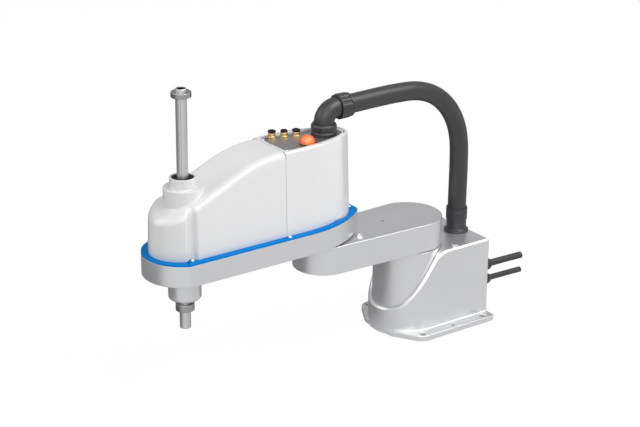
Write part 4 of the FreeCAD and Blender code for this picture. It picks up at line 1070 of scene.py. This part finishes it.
@dataclass
class Forearm:
    """The forearm: cast tray, blue trim, two covers, top plate and what stands on it."""

    quill_x: float = 400.0
    low: float = 180.8
    high: float = 212.4
    trim_high: float = 215.0
    cover_high: float = 339.5
    split: float = 256.0
    half: float = 45.0
    draft: float = 3.5
    shoulder: float = 11.5
    arc_x: float = 218.0
    seat: float = 188.8
    joint_x: float = 160.0
    plate_high: float = 336.6
    plate_bow: float = 5.1

    def plan(self, inset: float, corner: float = 10.0) -> Array:
        """The tray's plan, drawn in by inset.

        Args:
            inset: How far inside the outer edge.
            corner: The radius of the rear corners.

        Returns:
            The plan's points.
        """
        half, nose = 55.0 - inset, 60.0 - inset
        turn = math.degrees(math.asin(half / nose))
        end_x = self.quill_x + nose * math.cos(math.radians(turn))
        front = np.vstack([
            line((self.arc_x, -half), (end_x, -half), 60),
            arc((self.quill_x, 0), nose, -turn, turn, 110),
            line((end_x, half), (self.arc_x, half), 60),
        ])
        return bowed(105.0 + inset, half, 170.0 - inset, self.arc_x, corner, front)

    def tray(self) -> None:
        """The tray: outer wall, rim, inner wall and floor in one profile."""
        plan = self.plan(0.0)
        profile = blended([
            (8, self.low), (0, self.low), (0, self.high), (7, self.high), (7, self.seat),
            (12, self.seat),
        ], [0, 1.8, 0.5, 0.4, 1.5, 0], 5)
        tray = prism("forearm_tray", plan, profile)
        low, high = self.low - 5, self.high + 5
        cutters = [plug(self.joint_x, 0, low, high, 31), plug(self.joint_x, 0, 186.1, high, 36.1),
                   plug(self.quill_x, 0, low, high, 20)]
        finish_piece(carved(tray, cutters), Body.FOREARM, Finish.CASTING, ["forearm_casting"])
        edge = blended([
            (15, self.high), (0, self.high), (0, self.trim_high), (15, self.trim_high),
        ], [0.1, 0.3, 0.9, 0.3], 5, True)
        trim = prism("blue_trim", plan, edge, True)
        finish_piece(trim, Body.FOREARM, Finish.TRIM, ["trim_plate"])

    def ramp(self, x: Array) -> Array:
        """Height of the front cover's back over x: level, an arc of radius 188 about
        (258, 151.5), then a straight fall of 0.448 to 1."""
        bend = 151.5 + np.sqrt(188.0 ** 2 - np.clip(x - 258.0, 0.0, 77.0) ** 2)
        return np.where(x > 335.0, 323.0 - (x - 335.0) * 0.448, bend)

    def front_cover(self) -> None:
        """The front cover: drafted walls with a channel each side of the nose, a broad round
        shoulder, and the ramp that both sides meet on."""
        start, nose_x, half = self.split + 0.35, 406.0, self.half
        wall = np.vstack([
            line((start, -half), (nose_x, -half), 400),
            arc((nose_x, 0), half, -90, 90, 400),
            line((nose_x, half), (start - 1e-6, half), 400),
            [[start, half]],
        ])
        wall = resampled(wall, 420, False)
        angle = np.degrees(np.arctan2(wall[:, 1], wall[:, 0] - nose_x))
        on_nose = wall[:, 0] > nose_x
        normal = np.where(on_nose[:, None],
                          np.stack([np.cos(np.radians(angle)), np.sin(np.radians(angle))], 1),
                          np.stack([np.zeros(len(wall)), np.sign(wall[:, 1])], 1))
        gap = np.linalg.norm(wall - np.array([413.0, 44.4]) * np.stack(
            [np.ones(len(wall)), np.sign(wall[:, 1])], 1), axis=1)
        channel = 6.2 * np.exp(-(gap / 6.6) ** 4)
        base, radius = self.trim_high, self.shoulder
        tall = self.cover_high + 10 - base
        rows = []

        def row(inset: Array, height: Callable[[Array], Array]) -> None:
            """Adds one row of the grid."""
            flat = wall - np.broadcast_to(inset, (len(wall),))[:, None] * normal
            rows.append(np.column_stack([flat, height(flat[:, 0])]))

        wall_top = self.ramp(wall[:, 0]) - radius
        for share in np.linspace(0.0, 1.0, 14):
            level = base + (wall_top - base) * share
            lean = self.draft * (level - base) / tall
            row(lean + channel, lambda x, level=level: level)
        lean_top = self.draft * (wall_top - base) / tall
        for turn in np.linspace(8, 90, 12):
            rad = math.radians(turn)
            fade = math.cos(rad) ** 0.7
            row(lean_top + channel * fade + radius * (1 - math.cos(rad)),
                lambda x, rad=rad: self.ramp(x) - radius * (1 - math.sin(rad)))
        edge = rows[-1][:, :2]
        middle = np.column_stack([np.minimum(edge[:, 0], nose_x), np.zeros(len(edge))])
        for share in np.linspace(0.0, 1.0, 12)[1:]:
            flat = edge + share * (middle - edge)
            rows.append(np.column_stack([flat, self.ramp(flat[:, 0])]))
        cover = merged(surface("front_cover_shell", np.stack(rows), sheet=True))
        thick = cover.modifiers.new("wall", "SOLIDIFY")
        thick.thickness = 2.4 * MM
        thick.offset = -1.0
        thick.use_even_offset = False
        applied(cover)
        carved(cover, [plug(self.quill_x, 0, 200, 400, 17.6)])
        finish_piece(cover, Body.FOREARM, Finish.COVER, ["front_cover"], 50)

    def boss(self) -> None:
        """The boss round the quill: two steps that rise from the ramp with a soft foot."""
        turn = np.linspace(0, 2 * math.pi, 128, endpoint=False)
        way = np.stack([np.cos(turn), np.sin(turn)], 1)
        rows = []

        def foot(radius: float, lift: float) -> None:
            """Adds a row that follows the ramp at a distance."""
            flat = way * radius + np.array([self.quill_x, 0.0])
            height = np.minimum(self.ramp(flat[:, 0]) + lift, 306.4)
            rows.append(np.column_stack([flat, height]))

        for radius, lift in ((29.4, -1.2), (29.3, -0.1), (28.5, 0.2), (27.8, 0.8), (27.5, 1.9)):
            foot(radius, lift)
        upper = blended([
            (27.5, 306.6), (27.5, 308.0), (18.5, 308.0), (18.5, 322.6), (16.0, 322.6),
            (16.0, 292.0),
        ], [0, 1.2, 1.2, 0.9, 0.5, 0], 5)
        for radius, height in upper.tolist():
            flat = way * radius + np.array([self.quill_x, 0.0])
            rows.append(np.column_stack([flat, np.full(len(flat), height)]))
        boss = surface("quill_boss", np.stack(rows), True)
        finish_piece(boss, Body.FOREARM, Finish.COVER, [], 50)

    def plate_plan(self, inset: float, counts: tuple[int, int, int]) -> Array:
        """The top plate's plan: straight front and back edges and two bowed sides.

        Args:
            inset: How far inside the plate's edge.
            counts: Points on the front, on each side and on the back.

        Returns:
            The plan's points, counter-clockwise from the front's lower end.
        """
        front, rear = 250.5 - inset, 137.0 + inset
        wide, narrow = 34.0 - inset, 18.0 - inset
        share = np.linspace(0.0, 1.0, counts[1], endpoint=False)

        def side(along: Array) -> Array:
            """The bowed upper side, a share of the way from the front to the back."""
            bow = self.plate_bow * 4 * along * (1 - along)
            return np.stack([front + (rear - front) * along,
                             wide + (narrow - wide) * along + bow], 1)

        return np.vstack([
            line((front, -wide), (front, wide), counts[0]), side(share),
            line((rear, narrow), (rear, -narrow), counts[2]),
            side(1 - share) * np.array([1, -1])])

    def rear_cover(self) -> None:
        """The rear cover: drafted walls, a small round edge, a level rim and the recess of the
        top plate. Points of the split face only move across, so that face stays flat."""
        face, half = self.split - 0.35, self.half
        counts, mirror = (60, 170, 24), np.array([1, -1])
        flank = line((face, half), (self.arc_x, half), 60)
        bow = bowed(120.0, half, 160.0, self.arc_x, 11.0, flank[:1])
        lower_bow, upper_bow, corner = bow[:80], bow[81:-8], bow[-8:-7]
        upper = resampled(np.vstack([flank, upper_bow, corner]), counts[1] + 1, False)[:-1]
        lower = resampled(np.vstack([corner * mirror, lower_bow,
                                     [[self.arc_x, -half], [face, -half]]]),
                          counts[1] + 1, False)[:-1]
        back = line(corner[0], corner[0] * mirror, counts[2])
        split = line((face, -half), (face, half), counts[0])
        plan = np.vstack([split, upper, back, lower])
        normal = outward(plan)
        normal[:counts[0]] = np.stack([np.zeros(counts[0]), split[:, 1] / half], 1)
        normal[counts[0]] = (0.0, 1.0)
        rows = []

        def row(flat: Array, level: float) -> None:
            """Adds one level row of the grid."""
            rows.append(np.column_stack([flat, np.full(len(plan), level)]))

        top, edge, wall, under = self.cover_high, 4.2, 2.4, 331.8
        tall = top - self.trim_high
        for level in np.linspace(self.trim_high, top - edge, 8):
            row(plan - self.draft * (level - self.trim_high) / tall * normal, level)
        for rad in np.radians(np.linspace(12, 90, 8)):
            inset = self.draft + edge * (1 - math.cos(rad))
            row(plan - inset * normal, top - edge * (1 - math.sin(rad)))
        rim = self.plate_plan(-0.4, counts)
        lip = self.plate_plan(6.0, counts)
        start = rows[-1][:, :2]
        for share in (0.25, 0.6, 0.93, 1.0):
            row(start + share * (rim - start), top - (0.5 if share == 1.0 else 0.0))
        for flat, level in ((rim, 334.1), (lip, 334.1), (lip, under)):
            row(flat, level)
        for inset, level in ((6.0, under), (2.5, self.trim_high)):
            inner = plan - inset * normal
            inner[:counts[0], 0] -= wall
            row(inner, level)
        cover = surface("rear_cover_shell", np.stack(rows), True)
        finish_piece(cover, Body.FOREARM, Finish.COVER, ["rear_cover"], 44)

    def plate(self) -> None:
        """The top plate with its four screws, and the five screws on the ledge."""
        high = self.plate_high
        plan = resampled(self.plate_plan(0.0, (60, 120, 30)), 400)
        profile = blended([(3, 334.2), (0, 334.2), (0, high), (3, high)], [0, 0.2, 0.4, 0], 3)
        plate = prism("service_plate", plan, profile)
        finish_piece(plate, Body.FOREARM, Finish.PLATE, ["top_plate"])
        places = [(x, s * y, high) for x, y in ((246, 29), (142, 14.5)) for s in (1, -1)]
        heads = screws("plate_screws", places, 3.1, 2.4)
        finish_piece(heads, Body.FOREARM, Finish.BEARING, ["top_plate_screws"])
        ledge = [(112.5, 0, self.trim_high)]
        ledge += [(x, s * y, self.trim_high) for x, y in ((254.0, 49.6), (413.0, 43.0))
                  for s in (1, -1)]
        heads = screws("ledge_screws", ledge, 2.75, 1.8)
        finish_piece(heads, Body.FOREARM, Finish.ZINC, ["cover_screws"])

    def fittings(self) -> None:
        """Three push-in air fittings: a six-sided foot, a waisted barrel and a black collar."""
        places = [(233 - 16 * k, -26 + 7.5 * k, self.plate_high) for k in range(3)]
        profile = blended([
            (5.8, 0), (5.8, 4.0), (4.6, 4.8), (4.6, 5.6), (5.5, 6.6), (5.3, 9.4), (4.2, 10),
            (3.4, 10), (3.4, 4), (0.1, 4),
        ], [0, 0.4, 0.4, 0.4, 0.8, 0.6, 0.2, 0.2, 0.2, 0], 4)
        foot_rows, foot_high = 6, 4.6

        def foot_shape(turn: Array, height: Array) -> Array:
            """A hexagon's outline over the foot, a circle above it."""
            rows = np.arange(turn.shape[0])[:, None] < foot_rows
            return np.where(rows & (height < foot_high), hexagon_share(turn), 1.0)

        barrels = [turned("fitting", profile, place, 48, shape=foot_shape) for place in places]
        finish_piece(joined("plate_fitting_barrels", barrels), Body.FOREARM, Finish.BRASS,
                     ["air_fitting_bodies"], 28)
        collars = []
        for place, wide in zip(places, (6.1, 5.2, 6.2)):
            profile = blended([
                (2.0, 10.1), (4.6, 10.1), (wide, 10.8), (wide, 12.2), (wide - 0.8, 13), (2.3, 13),
            ], [0.1, 0.3, 0.3, 0.5, 0.5, 0.3], 4, True)
            collars.append(turned("collar", profile, place, 40, True))
        finish_piece(joined("plate_fitting_collars", collars), Body.FOREARM, Finish.SEAL,
                     ["air_fitting_collars"])

    def turnings(self) -> list[Turning]:
        """The quill's seal, the lamp's ring and cap, the duct's swivel foot, and the housing
        that guides the quill under the forearm."""
        quill, lamp, high = (self.quill_x, 0, 0), (204.0, 20.6, self.plate_high), self.plate_high
        return [
            Turning("quill_seal", Finish.SEAL, ["shaft_seal"], "seal", [
                (8.35, 313.6, 0.2), (15.95, 313.6, 0.3), (15.95, 321.2, 0.3), (13, 321.2, 0.4),
                (10.5, 319.4, 0.5), (8.35, 320.2, 0.2)], quill),
            Turning("lamp_ring", Finish.NYLON, ["lamp_base"], "dark", [
                (11.3, 0, 0), (11.3, 2, 0.5), (10.6, 2.1, 0.2), (0.1, 2.1, 0)], lamp, False, 64,
                3),
            Turning("lamp_cap", Finish.LAMP, ["lamp_lens"], "lens", [
                (11.0, 2.1, 0), (11.0, 5.6, 1.5), (9.8, 9.4, 2.5), (6.2, 12.3, 3.0),
                (0.1, 13.0, 0)], lamp, False, 72, 6),
            Turning("swivel_foot", Finish.NYLON, ["duct_swivel_base"], "dark", [
                (11, high, 0.1), (18.8, high, 0.3), (18.8, 341.2, 0.8), (17.4, 342.8, 0.6),
                (17.4, 345.2, 0.4), (11, 345.2, 0.1)], (self.joint_x, 0, 0)),
            Turning("nose_barrel", Finish.CASTING, ["nose_housing"], "machined", [
                (16.5, 146, 0.3), (11.5, 144, 0.3), (11.5, 141, 0.5), (20.5, 141, 1.5),
                (23.5, 144, 1.5), (23.5, 180.7, 0.5), (20.1, 180.7, 0.2),
                (20.1, self.seat, 0.3), (16.5, self.seat, 0.3)], quill, steps=5),
        ]

    def build(self) -> None:
        """Makes every piece of the forearm."""
        self.tray()
        self.front_cover()
        self.boss()
        self.rear_cover()
        self.plate()
        self.fittings()
        for turning in self.turnings():
            turning.build(Body.FOREARM)


@dataclass
class Quill:
    """The hollow splined shaft and its two collars."""

    x: float = 400.0
    radius: float = 8.0
    bore: float = 5.75
    low: float = 96.0
    high: float = 449.0

    def shaft(self) -> None:
        """The shaft, with four straight ball grooves between the collars, and a black sheet in
        its bore as painted shade.
        """
        low, high, bore, wide = self.low, self.high, self.bore, self.radius
        neck, groove_low, groove_high = wide - 0.25, 136.0, 435.0
        profile = np.array([
            (bore, low), (wide - 0.6, low), (wide, low + 0.6), (wide, 121.4), (neck, 121.4),
            (neck, 122.4), (wide, 122.4), (wide, groove_low - 0.1), (wide, groove_low + 0.1),
            (wide, 250.0), (wide, groove_high - 0.1), (wide, groove_high + 0.1),
            (wide, high - 0.6), (wide - 0.6, high), (bore, high),
        ])

        def grooves(turn: Array, height: Array) -> Array:
            """Four rounded grooves 0.7 mm deep along the middle of the shaft."""
            off = (np.mod(turn, math.pi / 2) - math.pi / 4) * self.radius
            dip = 0.7 * np.sqrt(np.maximum(0.0, 1 - (off / 1.15) ** 2)) / self.radius
            return np.where((height > groove_low) & (height < groove_high), 1 - dip, 1.0)

        shaft = turned("quill_shaft", profile, (self.x, 0, 0), 160, True, shape=grooves)
        finish_piece(shaft, Body.QUILL, Finish.SHAFT, ["spline_shaft"], 30)
        # painted shade: a thin black tube just inside the bore darkens the hollow, which is only
        # in shade
        outer, inner = bore - 0.01, bore - 0.25
        profile = np.array([(outer, low + 1), (outer, high - 1), (inner, high - 1),
                            (inner, low + 1)])
        painted_shade_lining = turned("quill_bore_painted_shade", profile, (self.x, 0, 0), 96, True)
        finish_piece(painted_shade_lining, Body.QUILL, Finish.MOTOR, [])

    def collars(self) -> None:
        """The stop collars: a clamp ring below and a thin ring at the top, each with a slit."""
        for name, radius, low, high in (("lower_collar", 13.5, 123.0, 134.0),
                                        ("upper_collar", 14.3, 437.0, 444.5)):
            profile = blended([
                (8.05, low), (radius, low), (radius, high), (8.05, high),
            ], [0.2, 1.1, 1.1, 0.3], 5, True)
            ring = turned(f"{name}_ring", profile, (self.x, 0, 0), 96, True)
            slit = block((self.x - radius - 2, -0.6, low - 2), (self.x - 7, 0.6, high + 2))
            finish_piece(carved(ring, [slit]), Body.QUILL, Finish.COLLAR, [name])

    def build(self) -> None:
        """Makes every piece of the quill."""
        self.shaft()
        self.collars()


@dataclass
class Inside:
    """The CAD pieces that keep their own shape and only get a finish."""

    looks: dict = field(default_factory=lambda: {
        Finish.PANEL: ["base_rear_panel"],
        Finish.ZINC: ["rear_panel_screws"],
        Finish.BRASS: ["rear_air_fittings"],
        Finish.SEAL: ["rear_fitting_collars"],
        Finish.MOTOR: ["j1_motor", "j2_motor", "lift_motor", "spin_motor"],
        Finish.TURNED: ["j1_reducer", "j1_output_flange", "j2_output_flange", "j2_reducer",
                        "drive_bracket", "screw_nut_pulley", "spline_nut_pulley",
                        "spin_motor_pulley", "lift_motor_pulley"],
        Finish.BEARING: ["spline_nut", "screw_nut", "spline_bearings", "screw_bearing"],
        Finish.BELT: ["spin_belt", "lift_belt"],
    })

    def build(self) -> None:
        """Gives each kept CAD piece its finish."""
        for look, names in self.looks.items():
            for name in names:
                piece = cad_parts[name]
                piece.data.materials.clear()
                piece.data.materials.append(material(look))
                LOG.info("%s: keeps its CAD shape", name)


@dataclass
class Studio:
    """The camera at the photograph's place, soft lamps, and a pale floor."""

    place: tuple[float, float, float] = (1.6761, 2.0538, 1.2073)
    yaw: float = 233.6
    pitch: float = 21.3
    roll: float = -0.5
    focal_px: float = 1872.9
    width_px: float = 640.0
    shift_px: tuple[float, float] = (-2.0, 1.5)

    def camera(self) -> None:
        """Sets the camera from its yaw, its pitch below the horizon and its roll."""
        yaw, pitch, roll = (math.radians(a) for a in (self.yaw, self.pitch, self.roll))
        ahead = Vector((math.cos(yaw) * math.cos(pitch), math.sin(yaw) * math.cos(pitch),
                        -math.sin(pitch)))
        right = ahead.cross(Vector((0, 0, 1))).normalized()
        down = ahead.cross(right)
        side = right * math.cos(roll) + down * math.sin(roll)
        under = down * math.cos(roll) - right * math.sin(roll)
        turn = Matrix((side, -under, -ahead)).transposed().to_4x4()
        data = bpy.data.cameras.new("photo_camera")
        data.sensor_width = sensor_mm = 36.0
        data.lens = self.focal_px * sensor_mm / self.width_px
        data.shift_x, data.shift_y = (shift / self.width_px for shift in self.shift_px)
        data.clip_end = 50.0
        camera = placed("photo_camera", data)
        camera.matrix_world = Matrix.Translation(Vector(self.place)) @ turn
        bpy.context.scene.camera = camera

    @staticmethod
    def lamp(name: str, place: Sequence[float], aim: Sequence[float],
             size: tuple[float, float], power: float) -> None:
        """A large soft lamp.

        Args:
            name: The lamp's name.
            place: Where it hangs, in metres.
            aim: The point that it faces.
            size: Its length and its height, in metres.
            power: Its power in watts.
        """
        data = bpy.data.lights.new(name, "AREA")
        data.shape = "RECTANGLE"
        data.size, data.size_y = size
        data.energy = power
        lamp = placed(name, data)
        lamp.location = place
        way = Vector(aim) - Vector(place)
        lamp.rotation_euler = way.to_track_quat("-Z", "Y").to_euler()

    @staticmethod
    @staticmethod
    def world(even: float, far: float, near: float) -> None:
        """A plain sky: white where the camera sees it, even as light, and in reflections
        brighter on the near side.

        A reflection whose direction makes the angle a with (0.55, 0.65, 0.52) sees the
        strength far + near times ((1 + cos a) / 2) to the power of 4.

        Args:
            even: The strength of the light that it sheds.
            far: The reflected strength on the far side.
            near: How much stronger it is on the near side.
        """
        world = bpy.data.worlds.new("studio")
        bpy.context.scene.world = world
        world.use_nodes = True
        tree, white = world.node_tree, (1, 1, 1)
        path = add_node(tree, "ShaderNodeLightPath")
        way = Wire(add_node(tree, "ShaderNodeTexCoord").outputs["Generated"])
        dot = add_node(tree, "ShaderNodeVectorMath", {"operation": "DOT_PRODUCT"},
                       {0: way, 1: (0.55, 0.65, 0.52)})
        share = (Wire(dot.outputs["Value"]) * 0.5 + 0.5) ** 4.0
        mirrored = Wire(path.outputs["Is Glossy Ray"])
        back = add_node(tree, "ShaderNodeBackground", inputs={
            "Color": white, "Strength": (share * near + (far - even)) * mirrored + even})
        bright = add_node(tree, "ShaderNodeBackground", inputs={"Color": white})
        mix = add_node(tree, "ShaderNodeMixShader", inputs={
            0: Wire(path.outputs["Is Camera Ray"]), 1: Wire(back.outputs[0]),
            2: Wire(bright.outputs[0])})
        feed(tree.nodes["World Output"].inputs["Surface"], Wire(mix.outputs[0]))

    @staticmethod
    def floor() -> None:
        """A wide pale floor: it shows nearly white and keeps a faint shadow, and reflections
        see it bright on the near side and dim on the far side."""
        reach, level = 9000.0, -0.5
        grid = np.array([[[x, y, level] for x in (-reach, reach)] for y in (-reach, reach)])
        floor = surface("studio_floor", grid, sheet=True)
        shader = Shader("pale_floor")
        grain = shader.noise(8.0, 2.0)
        shader.paint({"Base Color": shader.mix(grain, (0.74,) * 3, (0.76,) * 3),
                      "Roughness": 0.9, "Specular IOR Level": 0.0})
        split = shader.node("ShaderNodeSeparateXYZ", inputs={"Vector": shader.place})
        tones = ((0.0, 0.22), (0.43, 0.20), (0.52, 0.66), (0.60, 0.80), (1.0, 0.80))
        tone = shader.ramp(Wire(split.outputs["Y"]) + 0.5, [(y, (v,) * 3) for y, v in tones])
        path = shader.node("ShaderNodeLightPath")
        below = Wire(shader.surface.outputs[0])
        for colour, strength, ray, share in ((tone, 1.0, "Is Glossy Ray", 1.0),
                                             ((1.0,) * 3, 1.04, "Is Camera Ray", 0.9)):
            glow = shader.node("ShaderNodeEmission", inputs={
                "Color": colour, "Strength": strength})
            mix = shader.node("ShaderNodeMixShader", inputs={
                0: Wire(path.outputs[ray]) * share, 1: below, 2: Wire(glow.outputs[0])})
            below = Wire(mix.outputs[0])
        feed(shader.tree.nodes["Material Output"].inputs["Surface"], below)
        floor.data.materials.append(shader.material)

    def build(self) -> None:
        """Makes the camera, the lamps, the sky and the floor."""
        bpy.context.scene.view_settings.view_transform = "Standard"
        self.camera()
        self.world(0.46, 0.46, 1.60)
        self.lamp("edge", (-0.7, 1.3, 2.5), (0.1, 0, 0.2), (2.4, 1.6), 54.0)
        self.lamp("front", (2.5, 2.9, 2.1), (0.1, 0, 0.2), (2.0, 1.6), 16.0)
        self.lamp("nose", (2.6, -1.4, 1.5), (0.2, 0, 0.2), (2.0, 2.0), 18.0)
        self.floor()


def main() -> None:
    """Builds the robot and its studio, in order."""
    logging.basicConfig(level=logging.INFO, format="%(name)s: %(message)s")
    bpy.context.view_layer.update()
    Studio().build()
    Duct().build()
    for assembly in (Base(), UpperArm(), Forearm(), Quill(), Inside()):
        assembly.build()
        LOG.info("%s is done", type(assembly).__name__)


if __name__ == "__main__":
    main()
